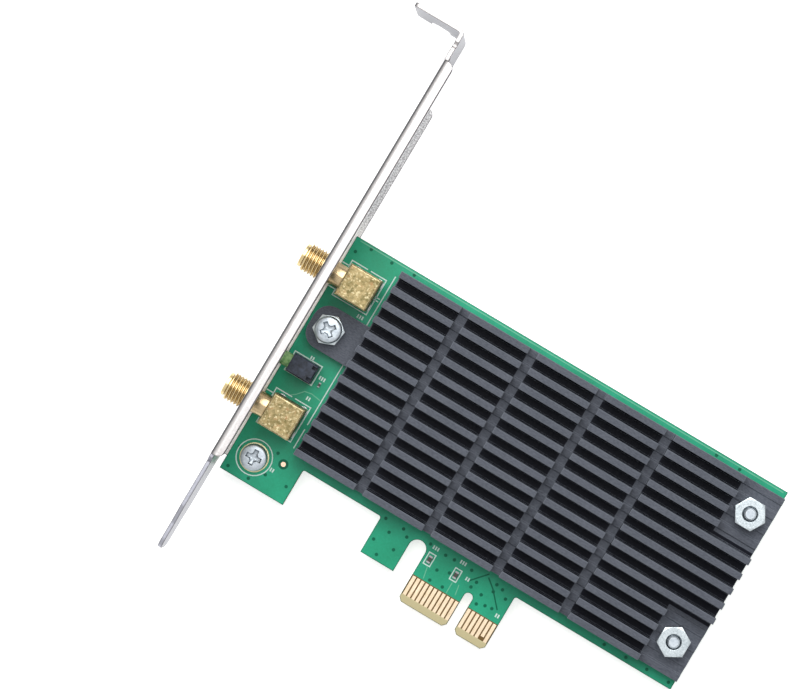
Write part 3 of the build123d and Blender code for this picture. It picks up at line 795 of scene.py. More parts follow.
@dataclass
class Shape:
    """Points and faces of one piece, gathered before they become a mesh."""

    points: list[Point] = field(default_factory=list)
    faces: list[tuple[int, ...]] = field(default_factory=list)
    zones: list[int] = field(default_factory=list)
    zone: int = 0

    def add_face(self, *corners: int) -> None:
        """Add one face of the current zone."""
        self.faces.append(tuple(corners))
        self.zones.append(self.zone)

    def add_rings(self, rings: Sequence[Sequence[Point]], looped: bool = False) -> None:
        """Join rings of equal count into one closed skin.

        Args:
            rings: The rings in order, each a list of points.
            looped: Whether the last ring is joined to the first. Both are capped otherwise.
        """
        start = len(self.points)
        count = len(rings[0])
        total = len(rings)
        for ring in rings:
            self.points.extend(ring)
        for k in range(total if looped else total - 1):
            here = start + k * count
            there = start + ((k + 1) % total) * count
            for i in range(count):
                j = (i + 1) % count
                self.add_face(here + i, here + j, there + j, there + i)
        if not looped:
            last = start + (total - 1) * count
            self.add_face(*range(start + count - 1, start - 1, -1))
            self.add_face(*range(last, last + count))

    def revolve(
        self,
        stations: Sequence[Station],
        angles: Sequence[float],
        centre: Point,
        along_x: bool = False,
        looped: bool = False,
    ) -> None:
        """Turn a row of stations about an axis through a centre.

        Args:
            stations: Each gives a radius and a distance along the axis for an angle.
            angles: The angles round the axis, in radians.
            centre: A point on the axis.
            along_x: Whether the axis runs along X. It runs along Z otherwise.
            looped: Whether the last station joins the first, as in a ring.
        """
        rings = []
        for station in stations:
            ring = []
            for angle in angles:
                radius, distance = station(angle)
                first, second = radius * math.cos(angle), radius * math.sin(angle)
                offset = (distance, first, second) if along_x else (first, second, distance)
                ring.append(tuple(c + o for c, o in zip(centre, offset)))
            rings.append(ring)
        self.add_rings(rings, looped)

    def add_block(self, low: Point, high: Point, corner: float, top: float) -> None:
        """Add a box with its edges bevelled.

        Args:
            low: Lowest corner.
            high: Highest corner.
            corner: Length cut from each upright edge and from the edges at the bottom.
            top: Length cut from the edges at the top.
        """
        levels = (
            (low[2], corner), (low[2] + corner, 0.0), (high[2] - top, 0.0), (high[2], top),
        )
        rings = []
        for z, inset in levels:
            x0, y0, x1, y1 = low[0] + inset, low[1] + inset, high[0] - inset, high[1] - inset
            outline = (
                (x0 + corner, y0), (x1 - corner, y0), (x1, y0 + corner), (x1, y1 - corner),
                (x1 - corner, y1), (x0 + corner, y1), (x0, y1 - corner), (x0, y0 + corner),
            )
            rings.append([(x, y, z) for x, y in outline])
        self.add_rings(rings)

    def add_ribbon(
        self, path: Sequence[Place], width: float, low: float, high: float, closed: bool = False
    ) -> None:
        """Add a flat strip along a path, with mitred corners.

        Args:
            path: The strip's middle line.
            width: Width of the strip.
            low: Height of its underside.
            high: Height of its top.
            closed: Whether the path's end joins its start.
        """
        rings = []
        count = len(path)
        for i, here in enumerate(path):
            before = path[i - 1] if i or closed else here
            after = path[(i + 1) % count] if i < count - 1 or closed else here
            headings = [Vector(b) - Vector(a) for a, b in ((before, here), (here, after)) if a != b]
            first, last = headings[0].normalized(), headings[-1].normalized()
            middle = (first + last).normalized()
            side = Vector((-middle.y, middle.x))
            side *= width / 2 / max(side.dot(Vector((-first.y, first.x))), 0.4)
            left, right = Vector(here) + side, Vector(here) - side
            rings.append([(*left, low), (*right, low), (*right, high), (*left, high)])
        self.add_rings(rings, closed)

    def add_disc(
        self, place: Place, outer: float, low: float, high: float, inner: float = 0.0
    ) -> None:
        """Add a flat disc, or a flat ring where it has an inner radius.

        Args:
            place: Its centre.
            outer: Outer radius.
            low: Height of its underside.
            high: Height of its top.
            inner: Inner radius.
        """
        stations = [level(outer, low), level(outer, high)]
        if inner > 0:
            stations += [level(inner, high), level(inner, low)]
        self.revolve(stations, turn_angles(28), (*place, 0.0), looped=inner > 0)

    def piece(
        self,
        name: str,
        finishes: Sequence[Finish],
        slot: str,
        stands_for: str = "",
        smooth_below: float = 35.0,
    ) -> None:
        """Make the Blender piece, dress it, and fix it to the card.

        Args:
            name: The piece's name.
            finishes: The finish of each zone, in order.
            slot: The record's material slot; not used.
            stands_for: The CAD node that the piece replaces, if any.
            smooth_below: Faces that meet at less than this angle shade as one.
        """
        mesh = bpy.data.meshes.new(name)
        mesh.from_pydata([[c * MM for c in point] for point in self.points], [], self.faces)
        mesh.polygons.foreach_set("material_index", self.zones)
        work = bmesh.new()
        work.from_mesh(mesh)
        bmesh.ops.recalc_face_normals(work, faces=work.faces)
        work.to_mesh(mesh)
        work.free()
        mesh.shade_smooth()
        mesh.set_sharp_from_angle(angle=math.radians(smooth_below))
        for finish in finishes:
            mesh.materials.append(finish.material())
        piece = bpy.data.objects.new(name, mesh)
        bpy.context.scene.collection.objects.link(piece)
        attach(piece, "root")
        if stands_for:
            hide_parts(stands_for)
        log.info("piece %s, %d faces", name, len(mesh.polygons))


@dataclass(frozen=True)
class Thread:
    """A rolled or cut screw thread between two places along an axis."""

    diameter: float
    pitch: float
    depth: float
    start: float
    stop: float
    steps: int = 10
    crest: float = 0.2
    run_out: float = 0.45

    def station(self, distance: float) -> Station:
        """Make the section of the thread at one distance.

        Args:
            distance: Place along the axis.

        Returns:
            A station whose radius winds round with the helix.
        """
        inward = min(abs(distance - self.start), abs(self.stop - distance))
        fade = min(1.0, inward / (self.run_out * self.pitch))

        def section(angle: float) -> Place:
            """Give the thread's radius at an angle.

            Args:
                angle: Angle round the axis, in radians.

            Returns:
                The radius and the distance along the axis.
            """
            phase = (distance / self.pitch - angle / math.tau) % 1.0
            flank = 1 - abs(2 * phase - 1)
            ridge = min(max((flank - self.crest) / (1 - 2 * self.crest), 0.0), 1.0)
            return (self.diameter / 2 - self.depth * (1 - ridge) * fade, distance)

        return section

    def stations(self) -> list[Station]:
        """Cut the thread into sections.

        Returns:
            The stations in order, from its start to its stop.
        """
        span = self.stop - self.start
        count = max(2, round(abs(span) / self.pitch * self.steps))
        return [self.station(self.start + span * i / count) for i in range(count + 1)]


@dataclass(frozen=True)
class HexPrism:
    """A hexagon whose two faces are turned to a cone, as on a nut."""

    flats: float
    low: float
    high: float
    turn: float
    cone_angle: float = 22.0
    cone_share: float = 0.99

    def edge(self, top: bool) -> Station:
        """Make the station where a side meets the cone.

        Args:
            top: Whether it is the upper cone.

        Returns:
            The station.
        """

        def section(angle: float) -> Place:
            """Give the side's radius, and the height to which it reaches.

            Args:
                angle: Angle round the axis, in radians.

            Returns:
                The radius and the height.
            """
            step = math.radians(60)
            inside = (angle - math.radians(self.turn)) % step - step / 2
            radius = self.flats / 2 / math.cos(inside)
            drop = max(0.0, radius - self.flats / 2 * self.cone_share)
            drop *= math.tan(math.radians(self.cone_angle))
            return (radius, self.high - drop if top else self.low + drop)

        return section

    def skin(self) -> list[Station]:
        """Give the stations up the outside, from the lower face's edge to the upper one's."""
        cone = self.flats / 2 * self.cone_share
        return [level(cone, self.low), self.edge(False), self.edge(True), level(cone, self.high)]

    def nut(self, bore: float, chamfer: float) -> list[Station]:
        """Give the ring of stations round a nut's section.

        Args:
            bore: Radius of its hole.
            chamfer: Cut at the hole's mouths.

        Returns:
            Stations that close on themselves.
        """
        mouth = bore + chamfer
        below = [level(bore, self.low + chamfer), level(mouth, self.low)]
        return below + self.skin() + [level(mouth, self.high), level(bore, self.high - chamfer)]

    def angles(self) -> list[float]:
        """Give angles that fall on the six corners."""
        return turn_angles(72, self.turn)


@dataclass(frozen=True)
class CrossRecess:
    """The four-armed driver recess of a screw head."""

    length: float = 3.35
    width: float = 0.95
    depth: float = 0.75
    turn: float = 0.0
    flare: float = 0.95
    sides: tuple[float, ...] = (22.0, 28.0, 36.0, 45.0)
    walls: tuple[Place, ...] = (
        (0.2, 1.0), (0.6, 0.96), (0.84, 0.8), (0.93, 0.45), (1.0, 0.05), (1.05, 0.0),
    )

    @property
    def corner(self) -> float:
        """Angle from an arm's middle to its corner, in radians."""
        return math.atan2(self.width, self.length)

    def radius(self, angle: float) -> float:
        """Give the radius of the recess's outline.

        Args:
            angle: Angle round the axis, in radians.

        Returns:
            The radius.
        """
        quarter = math.pi / 2
        inside = (angle - math.radians(self.turn) + quarter / 2) % quarter - quarter / 2
        if abs(inside) < self.corner:
            return self.length / 2 / math.cos(inside)
        return max(self.width / 2 / abs(math.sin(inside)), self.flare)

    def angles(self) -> list[float]:
        """Divide one turn so that every corner of the recess falls on an angle.

        Returns:
            The angles, in radians.
        """
        corner = math.degrees(self.corner)
        steps = [0.0, corner / 2, corner - 0.3, corner + 0.3, *self.sides]
        steps += [90 - step for step in reversed(steps[1:-1])]
        return [math.radians(self.turn + 90 * k + step) for k in range(4) for step in steps]

    def section(self, share: float, sunk: float, surface: Callable[[float], float]) -> Station:
        """Make one section of the recess.

        Args:
            share: Share of the outline's radius.
            sunk: Share of the depth below the surface.
            surface: Height of the head's surface at a radius.

        Returns:
            The station.
        """

        def ring(angle: float) -> Place:
            """Give the section's radius and height at an angle."""
            radius = self.radius(angle) * share
            return (radius, surface(radius) - self.depth * sunk)

        return ring


@dataclass
class ScrewBody:
    """A pan-head screw: recessed head, shank and rolled thread, pointing up or down."""

    place: Place
    seat: float
    tip: float
    head_diameter: float
    thread_diameter: float
    recess: CrossRecess
    thread_pitch: float = 0.5
    thread_depth: float = 0.27
    thread_start: float = -0.15
    tip_chamfer: float = 0.3
    head_height: float = 1.9
    dome: float = 0.05
    profile: tuple[Place, ...] = (
        (0.68, 0.972), (0.82, 0.945), (0.9, 0.9), (0.955, 0.82), (0.985, 0.7), (1.0, 0.5),
        (1.0, 0.06), (0.97, 0.0),
    )

    def surface(self, radius: float) -> float:
        """Give how high the domed head stands at a radius, over its seat."""
        share = radius / (self.head_diameter / 2)
        return self.head_height * (1 - self.dome * share**2)

    def add_to(self, shape: Shape) -> None:
        """Add the screw to a shape, from the recess over the head and down the thread.

        Args:
            shape: The shape that takes it.
        """
        length = abs(self.tip - self.seat)
        outer, shank = self.head_diameter / 2, self.thread_diameter / 2
        thread = Thread(
            self.thread_diameter, self.thread_pitch, self.thread_depth, self.thread_start,
            self.tip_chamfer - length, steps=8,
        )
        stations = [self.recess.section(*wall, self.surface) for wall in self.recess.walls]
        stations += [level(outer * r, self.head_height * h) for r, h in self.profile]
        stations += [level(shank, 0.0), *thread.stations()]
        stations.append(level(shank - self.tip_chamfer, -length))
        away = -1 if self.tip > self.seat else 1
        stations = [self.flip(station, away) for station in stations]
        shape.revolve(stations, self.recess.angles(), (*self.place, self.seat))

    def flip(self, station: Station, away: int) -> Station:
        """Turn a station over where the screw points up."""
        return lambda angle: (station(angle)[0], station(angle)[1] * away)


@dataclass
class CircuitBoard:
    """The green board with its gold fingers, printed marks, plated holes and solder."""

    sunk: float = 0.005
    ink_proud: float = 0.02
    line_width: float = 0.25
    jack_outline_half: float = 4.05
    jack_outline_shift: float = -0.4
    jack_outline_gap: float = 0.35
    jack_line_offset: float = 2.8
    jack_line_start: float = 0.1
    light_outline: tuple[float, float, float, float] = (-55.95, -49.55, 28.45, 32.85)
    left_line_x: float = -46.1
    left_line_runs: tuple[Place, ...] = ((15.6, 20.1), (21.1, 56.3))
    bridge_run: Place = (-47.6, -46.5)
    bridge_rows: Place = (50.65, 50.04)
    capacitor_places: tuple[Place, ...] = ((-10.7, 10.4), (-4.5, 10.4))
    capacitor_frame: Place = (0.75, 1.3)
    pad_ring: Place = (3.86, 3.62)
    dashes: tuple[tuple[float, float, int], ...] = (
        (-52.2, 33.3, 2), (-48.3, 30.7, 3), (-48.7, 25.8, 2), (-47.6, 9.5, 2), (-48.1, 45.5, 3),
        (-10.7, 13.0, 3), (-4.4, 13.3, 3), (-2.0, 10.9, 2), (7.0, 7.6, 2),
    )
    dash_step: float = 0.52
    dash_half: float = 0.4
    dash_width: float = 0.32
    via_radius: float = 0.36
    via_proud: float = 0.012
    via_sunk: float = 0.01
    vias: tuple[Place, ...] = (
        (-22.6, 13.0), (-20.6, 10.9), (-18.4, 13.0), (-17.0, 11.9), (-22.6, 8.1), (-18.0, 8.3),
        (-20.5, 5.7), (-12.1, 13.2), (-8.3, 12.8), (-6.3, 12.9), (-8.3, 9.3), (-2.2, 12.9),
        (-8.5, 6.8), (-5.6, 6.9), (-5.8, 10.1), (-0.6, 9.9), (-0.1, 11.3), (2.0, 9.6),
        (3.7, 13.0), (5.2, 12.7), (6.7, 11.4), (2.1, 7.5), (3.8, 8.1), (5.3, 8.3), (3.8, 11.4),
        (-48.3, 13.1), (-55.8, 5.7), (-50.9, 5.6), (-43.4, 8.1), (-48.3, 8.0), (-55.7, 10.3),
        (-55.8, 56.5), (-53.2, 58.5), (-48.2, 58.3), (-43.0, 58.5), (28.6, 13.8), (33.7, 13.8),
        (38.6, 13.9), (43.7, 13.9), (28.5, 58.5), (34.0, 58.4),
    )
    sunken_width: float = 0.28
    sunken_proud: float = 0.01
    sunken_tracks: tuple[tuple[Place, ...], ...] = (
        ((-1.5, 10.9), (1.3, 14.1)),
        ((1.5, 13.4), (3.5, 11.8), (6.4, 8.6)),
    )
    raised_width: float = 0.2
    raised_proud: float = 0.015
    raised_tracks: tuple[tuple[Place, ...], ...] = (
        ((-52.2, 24.6), (-51.2, 25.4), (-50.1, 26.7), (-48.6, 27.0), (-46.4, 26.7)),
        ((-10.3, 8.8), (-9.8, 6.4)),
        ((-4.3, 8.8), (-4.3, 6.2)),
        ((-2.9, 9.0), (-2.5, 6.8)),
    )
    top_track_y: float = 58.9
    top_track_start: float = 1.1
    top_track_end: float = 44.0
    top_track_width: float = 0.22
    back_tracks: int = 26
    back_seed: int = 7
    back_start: Place = (-40.0, 17.0)
    back_step: float = 3.1
    back_spread: float = 34.0
    back_run: Place = (4.0, 9.0)
    back_slant: float = 2.2
    back_margin: float = 6.0
    back_width: float = 0.3
    fiducial: Place = (-46.2, 11.7)
    fiducial_radii: Place = (1.05, 0.5)
    fiducial_proud: Place = (0.008, 0.03)
    leg_pad: float = 1.1
    contact_pad: float = 0.95
    lead_pad: float = 0.75
    lead_half: float = 0.25
    solder_proud: float = 0.03
    solder_cone: tuple[Place, ...] = (
        (1.0, 0.0), (0.97, 0.05), (0.74, 0.22), (0.6, 0.5), (0.52, 0.75),
    )

    def __post_init__(self) -> None:
        """Read the board's place."""
        self.body = Extent.of("circuit_board")
        self.face = self.body.high.z
        self.back = self.body.low.z

    def build(self) -> None:
        """Dress the board's nodes and lay everything that is printed or soldered on it."""
        dress("circuit_board", SOLDER_MASK)
        dress("edge_contacts", FINGER_GOLD)
        dress("ground_pad", PAD_GOLD)
        self.build_ink()
        self.build_vias()
        self.build_tracks()
        self.build_fiducial()
        self.build_solder()

    def jack_place(self, side: JackSide) -> Place:
        """Give the centre of a jack's block."""
        box = Extent.of(f"antenna_jack_{side.value}")
        return (box.high.x - AntennaJack.block_side / 2, box.middle.y)

    def ink_line(self, shape: Shape, path: Sequence[Place], closed: bool = False) -> None:
        """Print one white line on the component face."""
        low, high = self.face - self.sunk, self.face + self.ink_proud
        shape.add_ribbon(path, self.line_width, low, high, closed)

    def ink_frame(self, shape: Shape, x0: float, x1: float, y0: float, y1: float) -> None:
        """Print one white rectangle on the component face."""
        self.ink_line(shape, ((x0, y0), (x1, y0), (x1, y1), (x0, y1)), closed=True)

    def ink_jack(self, shape: Shape, side: JackSide) -> None:
        """Print the outline round a jack's block and the two lines beside its neck.

        Args:
            shape: The shape that takes the ink.
            side: Which jack it is.
        """
        x, y = self.jack_place(side)
        x += self.jack_outline_shift
        half, gap = self.jack_outline_half, self.jack_outline_gap
        outline = (
            (gap, half), (half, half), (half, -half), (-half, -half), (-half, half), (-gap, half),
        )
        self.ink_line(shape, [(x + a, y + b) for a, b in outline])
        start = self.body.low.x + self.jack_line_start
        for offset in (-self.jack_line_offset, self.jack_line_offset):
            self.ink_line(shape, ((start, y + offset), (x - half, y + offset)))

    def build_ink(self) -> None:
        """Print the outlines, the lines and short plain dashes in place of any wording."""
        shape = Shape()
        for side in JackSide:
            self.ink_jack(shape, side)
        self.ink_frame(shape, *self.light_outline)
        for run in self.left_line_runs:
            self.ink_line(shape, [(self.left_line_x, y) for y in run])
        for y in self.bridge_rows:
            self.ink_line(shape, [(x, y) for x in self.bridge_run])
        across, along = self.capacitor_frame
        for x, y in self.capacitor_places:
            self.ink_frame(shape, x - across, x + across, y - along, y + along)
        low, high = self.face - self.sunk, self.face + self.ink_proud
        pad = Extent.of("ground_pad").middle
        outer, inner = self.pad_ring
        shape.add_disc((pad.x, pad.y), outer, low, high, inner)
        for x, y, count in self.dashes:
            for k in range(count):
                place = x + (k - (count - 1) / 2) * self.dash_step
                path = ((place, y - self.dash_half), (place, y + self.dash_half))
                shape.add_ribbon(path, self.dash_width, low, high)
        shape.piece("board_ink", [BOARD_INK], "solder_mask")

    def build_vias(self) -> None:
        """Dot the plated holes, on both faces."""
        shape = Shape()
        for place in self.vias:
            for low, high in (
                (self.face - self.via_sunk, self.face + self.via_proud),
                (self.back - self.via_proud, self.back + self.via_sunk),
            ):
                shape.add_disc(place, self.via_radius, low, high)
        shape.piece("board_vias", [SUNKEN_MASK], "solder_mask")

    def build_tracks(self) -> None:
        """Draw the tracks that show on the component face, and a spread of them behind."""
        low = self.face - self.sunk
        dark = Shape()
        for path in self.sunken_tracks:
            dark.add_ribbon(path, self.sunken_width, low, self.face + self.sunken_proud)
        dark.piece("sunken_tracks", [SUNKEN_MASK], "solder_mask")
        light = Shape()
        high = self.face + self.raised_proud
        for path in self.raised_tracks:
            light.add_ribbon(path, self.raised_width, low, high)
        ends = (self.body.low.x + self.top_track_start, self.top_track_end)
        light.add_ribbon([(x, self.top_track_y) for x in ends], self.top_track_width, low, high)
        low, high = self.back - self.raised_proud, self.back + self.sunk
        for path in self.tracks_behind():
            light.add_ribbon(path, self.back_width, low, high)
        light.piece("raised_tracks", [RAISED_MASK], "solder_mask")

    def tracks_behind(self) -> list[tuple[Place, ...]]:
        """Draw random tracks, each with one slanting step, that end before the board does.

        Returns:
            The tracks' paths.
        """
        draw = random.Random(self.back_seed)
        paths = []
        for k in range(self.back_tracks):
            x = self.back_start[0] + self.back_step * k
            y = self.back_start[1] + self.back_spread * draw.random()
            run = self.back_run[0] + self.back_run[1] * draw.random()
            rise = self.back_slant * draw.choice((-1, 1))
            knee, end = x + run / 2, x + run + self.back_slant
            if end < self.body.high.x - self.back_margin:
                after = (knee + self.back_slant, y + rise)
                paths.append(((x, y), (knee, y), after, (end, y + rise)))
        return paths

    def build_fiducial(self) -> None:
        """Lay the round aiming mark: bare copper in an opening of the mask."""
        (outer, inner), (ring_proud, dot_proud) = self.fiducial_radii, self.fiducial_proud
        ring, dot = Shape(), Shape()
        ring.add_disc(self.fiducial, outer, self.face - self.sunk, self.face + ring_proud)
        ring.piece("aiming_mark_opening", [SUNKEN_MASK], "solder_mask")
        dot.add_disc(self.fiducial, inner, self.face, self.face + dot_proud)
        dot.piece("aiming_mark", [BARE_COPPER], "plated_gold")

    def build_solder(self) -> None:
        """Ring the legs of the jacks and the lamp with pads and solder, on both faces."""
        shape = Shape()
        places = []
        half = AntennaJack.leg_spread / 2
        for side in JackSide:
            x, y = self.jack_place(side)
            legs = [(x + a * half, y + b * half) for a in (-1, 1) for b in (-1, 1)]
            places += [(*leg, self.leg_pad) for leg in legs]
            places.append((x, y, self.contact_pad))
        leads = Extent.of("light_leads")
        for y in (leads.low.y + self.lead_half, leads.high.y - self.lead_half):
            places.append((leads.high.x - self.lead_half, y, self.lead_pad))
        for x, y, radius in places:
            high = self.face + self.solder_proud
            shape.add_disc((x, y), radius, self.face - self.sunk, high)
            cone = [level(radius * share, self.back - drop) for share, drop in self.solder_cone]
            shape.revolve(cone, turn_angles(28), (x, y, 0.0))
        shape.piece("solder_joints", [SOLDER_TIN], "tinned_lead", smooth_below=60)


@dataclass
class ShieldedChips:
    """Everything that stands between the board and the heatsink, and the loose chip parts."""

    nodes: tuple[tuple[str, Finish], ...] = (
        ("wifi_chip", CHIP_EPOXY),
        ("thermal_pad", SOFT_PAD),
        ("radio_front_ends", CHIP_EPOXY),
        ("clock_crystal", CRYSTAL_LID),
        ("power_regulator", CHIP_EPOXY),
        ("power_inductor", FERRITE),
        ("bolt_spacers", BLACK_NYLON),
    )
    end_capped: tuple[str, ...] = ("bypass_capacitors", "coupling_capacitors", "light_resistor")
    body_share: float = 0.28

    def build(self) -> None:
        """Dress the chips, and the small parts with their tinned ends."""
        for node, finish in self.nodes:
            dress(node, finish)
        for node in self.end_capped:
            box = Extent.of(node)
            half = self.body_share * (box.high.y - box.low.y)
            # Fired ceramic with tinned ends: a matt dark body between two pale caps.
            ceramic = EndCappedChip(
                f"{node}_ceramic", "#4a4640", "#3b3833", roughness=0.5, grain_mm=0.1,
                patch_mm=0.8, bump_mm=0.003, edge_mm=0.06, body_start=box.middle.y - half,
                body_end=box.middle.y + half,
            )
            dress(node, ceramic)


@dataclass
class Heatsink:
    """The extruded comb of fins, and the nuts and bolts that hold its free end."""

    bolt_places: tuple[Place, ...] = ((40.0, 21.75), (40.0, 51.75))
    nut_turns: Place = (30.0, 0.0)
    nut_flats: float = 6.0
    nut_chamfer: float = 0.35
    thread_diameter: float = 2.5
    thread_pitch: float = 0.45
    thread_play: float = 0.05
    head_diameter: float = 5.0

    def build(self) -> None:
        """Dress the comb and build its fasteners."""
        dress("heatsink", BLACK_ANODISED)
        self.build_nuts()
        self.build_bolts()

    def build_nuts(self) -> None:
        """Build both nuts with coned faces and chamfered mouths."""
        box = Extent.of("heatsink_nuts")
        bore = self.thread_diameter / 2 + self.thread_play
        shape = Shape()
        for place, turn in zip(self.bolt_places, self.nut_turns):
            prism = HexPrism(self.nut_flats, box.low.z, box.high.z, turn)
            ring = prism.nut(bore, self.nut_chamfer)
            shape.revolve(ring, prism.angles(), (*place, 0.0), looped=True)
        shape.piece("heatsink_nuts_turned", [NICKEL_NUT], "nickel_nut", "heatsink_nuts", 20.0)

    def build_bolts(self) -> None:
        """Build both bolts: head behind the board, thread through the nut."""
        tip = Extent.of("heatsink_bolts").high.z
        shape = Shape()
        for place in self.bolt_places:
            ScrewBody(
                place, 0.0, tip, self.head_diameter, self.thread_diameter, CrossRecess(),
                thread_pitch=self.thread_pitch,
            ).add_to(shape)
        shape.piece("heatsink_bolts_threaded", [ZINC_SCREW], "zinc_screw", "heatsink_bolts", 28.0)


@dataclass
class BracketScrews:
    """The two pan-head screws that hold the bracket, with the collar under the upper one."""

    head_diameter: float = 5.6
    thread_diameter: float = 3.0
    recess_turns: Place = (49.0, 3.0)
    collar_flats: float = 5.8
    collar_turn: float = 22.0
    collar_height: float = 1.6
    collar_play: float = 0.15
    sleeve_diameter: float = 4.2

    def build(self) -> None:
        """Build both screws and the collar."""
        for node, turn in zip(("upper_bracket_screw", "lower_bracket_screw"), self.recess_turns):
            self.build_screw(node, turn)
        self.build_collar()

    def build_screw(self, node: str, turn: float) -> None:
        """Build one screw in the place of its node.

        Args:
            node: The node that it replaces.
            turn: Turn of its recess, in degrees.
        """
        box = Extent.of(node)
        place, seat = (box.middle.x, box.middle.y), box.high.z - ScrewBody.head_height
        recess = CrossRecess(turn=turn)
        shape = Shape()
        screw = ScrewBody(
            place, seat, box.low.z, self.head_diameter, self.thread_diameter, recess
        )
        screw.add_to(shape)
        shape.piece(f"{node}_headed", [ZINC_SCREW], "zinc_screw", node, 28.0)

    def build_collar(self) -> None:
        """Build the hex collar with its coned top and its sleeve."""
        box = Extent.of("hex_collar")
        ear_top = box.high.z - self.collar_height
        prism = HexPrism(self.collar_flats, ear_top, box.high.z, self.collar_turn)
        bore, sleeve = self.thread_diameter / 2 + self.collar_play, self.sleeve_diameter / 2
        stations = [level(bore, box.low.z), level(sleeve, box.low.z), level(sleeve, ear_top)]
        stations += [*prism.skin(), level(bore, box.high.z)]
        shape = Shape()
        place = (box.middle.x, box.middle.y, 0.0)
        shape.revolve(stations, prism.angles(), place, looped=True)
        shape.piece("hex_collar_turned", [NICKEL_NUT], "zinc_screw", "hex_collar", 20.0)


@dataclass
class AntennaJack:
    """One threaded jack: square block on legs, neck, shank, threaded barrel and lead-in ring."""

    side: JackSide
    block_side: float = 7.1
    block_bevel: float = 0.3
    block_corner: float = 0.08
    leg_side: float = 1.0
    leg_spread: float = 5.08
    leg_bevel: float = 0.12
    leg_inside: float = 0.2
    neck_diameter: float = 5.0
    shank_diameter: float = 6.0
    shank_end: float = -57.57
    fillet: float = 0.1
    thread_diameter: float = 6.2
    thread_pitch: float = 0.7056
    thread_depth: float = 0.4
    thread_start: float = -63.13
    thread_stop: float = -59.13
    tip_diameter: float = 5.1
    bore_diameter: float = 4.1
    bore_depth: float = 5.2
    contact_hole: float = 0.8
    lip: float = 0.12
    undercut: float = 0.32
    undercut_slope: float = 0.04

    def build(self) -> None:
        """Build the body, and dress the insulator and the contact in it."""
        node = f"antenna_jack_{self.side.value}"
        box = Extent.of(node)
        shape = Shape()
        self.add_block(shape, box)
        shape.zone = 1
        self.add_barrel(shape, box)
        shape.piece(f"{node}_plated", [BLOCK_GOLD, TURNED_GOLD], "jack_gold", node, 30.0)
        dress(f"jack_insulator_{self.side.value}", WHITE_INSULATOR)
        dress(f"jack_contact_{self.side.value}", TURNED_GOLD)

    def add_block(self, shape: Shape, box: Extent) -> None:
        """Add the square block and its four legs.

        Args:
            shape: The shape that takes them.
            box: The jack's extent.
        """
        half, leg, spread = self.block_side / 2, self.leg_side / 2, self.leg_spread / 2
        x, y, top = box.high.x - half, box.middle.y, box.high.z
        bottom = top - self.block_side
        low, high = (x - half, y - half, bottom), (x + half, y + half, top)
        shape.add_block(low, high, self.block_corner, self.block_bevel)
        for leg_x in (x - spread, x + spread):
            for leg_y in (y - spread, y + spread):
                low = (leg_x - leg, leg_y - leg, box.low.z)
                high = (leg_x + leg, leg_y + leg, bottom + self.leg_inside)
                shape.add_block(low, high, self.leg_bevel, self.leg_bevel)

    def add_barrel(self, shape: Shape, box: Extent) -> None:
        """Add the turned part, from the bottom of its bore round the tip to the block.

        Args:
            shape: The shape that takes it.
            box: The jack's extent.
        """
        tip, lip, fillet = box.low.x, self.lip, self.fillet
        bore, ring = self.bore_diameter / 2, self.tip_diameter / 2
        shank, neck = self.shank_diameter / 2, self.neck_diameter / 2
        groove, slope = self.thread_start - self.undercut, self.undercut_slope
        thread = Thread(
            self.thread_diameter, self.thread_pitch, self.thread_depth, self.thread_start,
            self.thread_stop,
        )
        stations = [
            level(self.contact_hole, tip + self.bore_depth),
            level(bore, tip + self.bore_depth),
            level(bore, tip + 2 * lip),
            level(bore + lip, tip),
            level(ring - lip, tip),
            level(ring, tip + lip),
            level(ring, groove),
            level(ring - self.undercut, groove + slope),
            level(ring - self.undercut, self.thread_start - slope),
            *thread.stations(),
            level(shank, self.thread_stop + fillet / 2),
            level(shank, self.shank_end - lip),
            level(shank - lip, self.shank_end),
            level(neck + fillet, self.shank_end),
            level(neck, self.shank_end + fillet),
            level(neck, box.high.x - self.block_side + fillet),
        ]
        centre = (0.0, box.middle.y, box.high.z - self.block_side / 2)
        shape.revolve(stations, turn_angles(56), centre, along_x=True)


@dataclass
class IndicatorLight:
    """The lamp near the board's end: black holder, domed green lamp and its leads."""

    dome_length: float = 1.5
    dome_steps: int = 10
    dome_tip: float = 0.04
    back_bevel: float = 0.1

    def build(self) -> None:
        """Dress the holder and the leads, and cast the lamp."""
        dress("light_housing", BLACK_NYLON)
        dress("light_leads", SOLDER_TIN)
        box = Extent.of("light_lamp")
        radius, length = (box.high.y - box.low.y) / 2, box.high.x - box.low.x
        stations = []
        for k in range(self.dome_steps + 1):
            angle = math.pi / 2 * k / self.dome_steps
            across = max(self.dome_tip, radius * math.sin(angle))
            stations.append(level(across, self.dome_length * (1 - math.cos(angle))))
        stations.append(level(radius, length - self.back_bevel))
        stations.append(level(radius - self.back_bevel, length))
        shape = Shape()
        place = (box.low.x, box.middle.y, box.middle.z)
        shape.revolve(stations, turn_angles(40), place, along_x=True)
        shape.piece("light_lamp_domed", [LAMP_EPOXY], "lamp_lens", "light_lamp", 40.0)


@dataclass
class RearBracket:
    """The folded sheet behind the board, with its feet and tab."""

    def build(self) -> None:
        """Dress the folded sheet."""
        dress("rear_bracket", ZINC_SHEET)


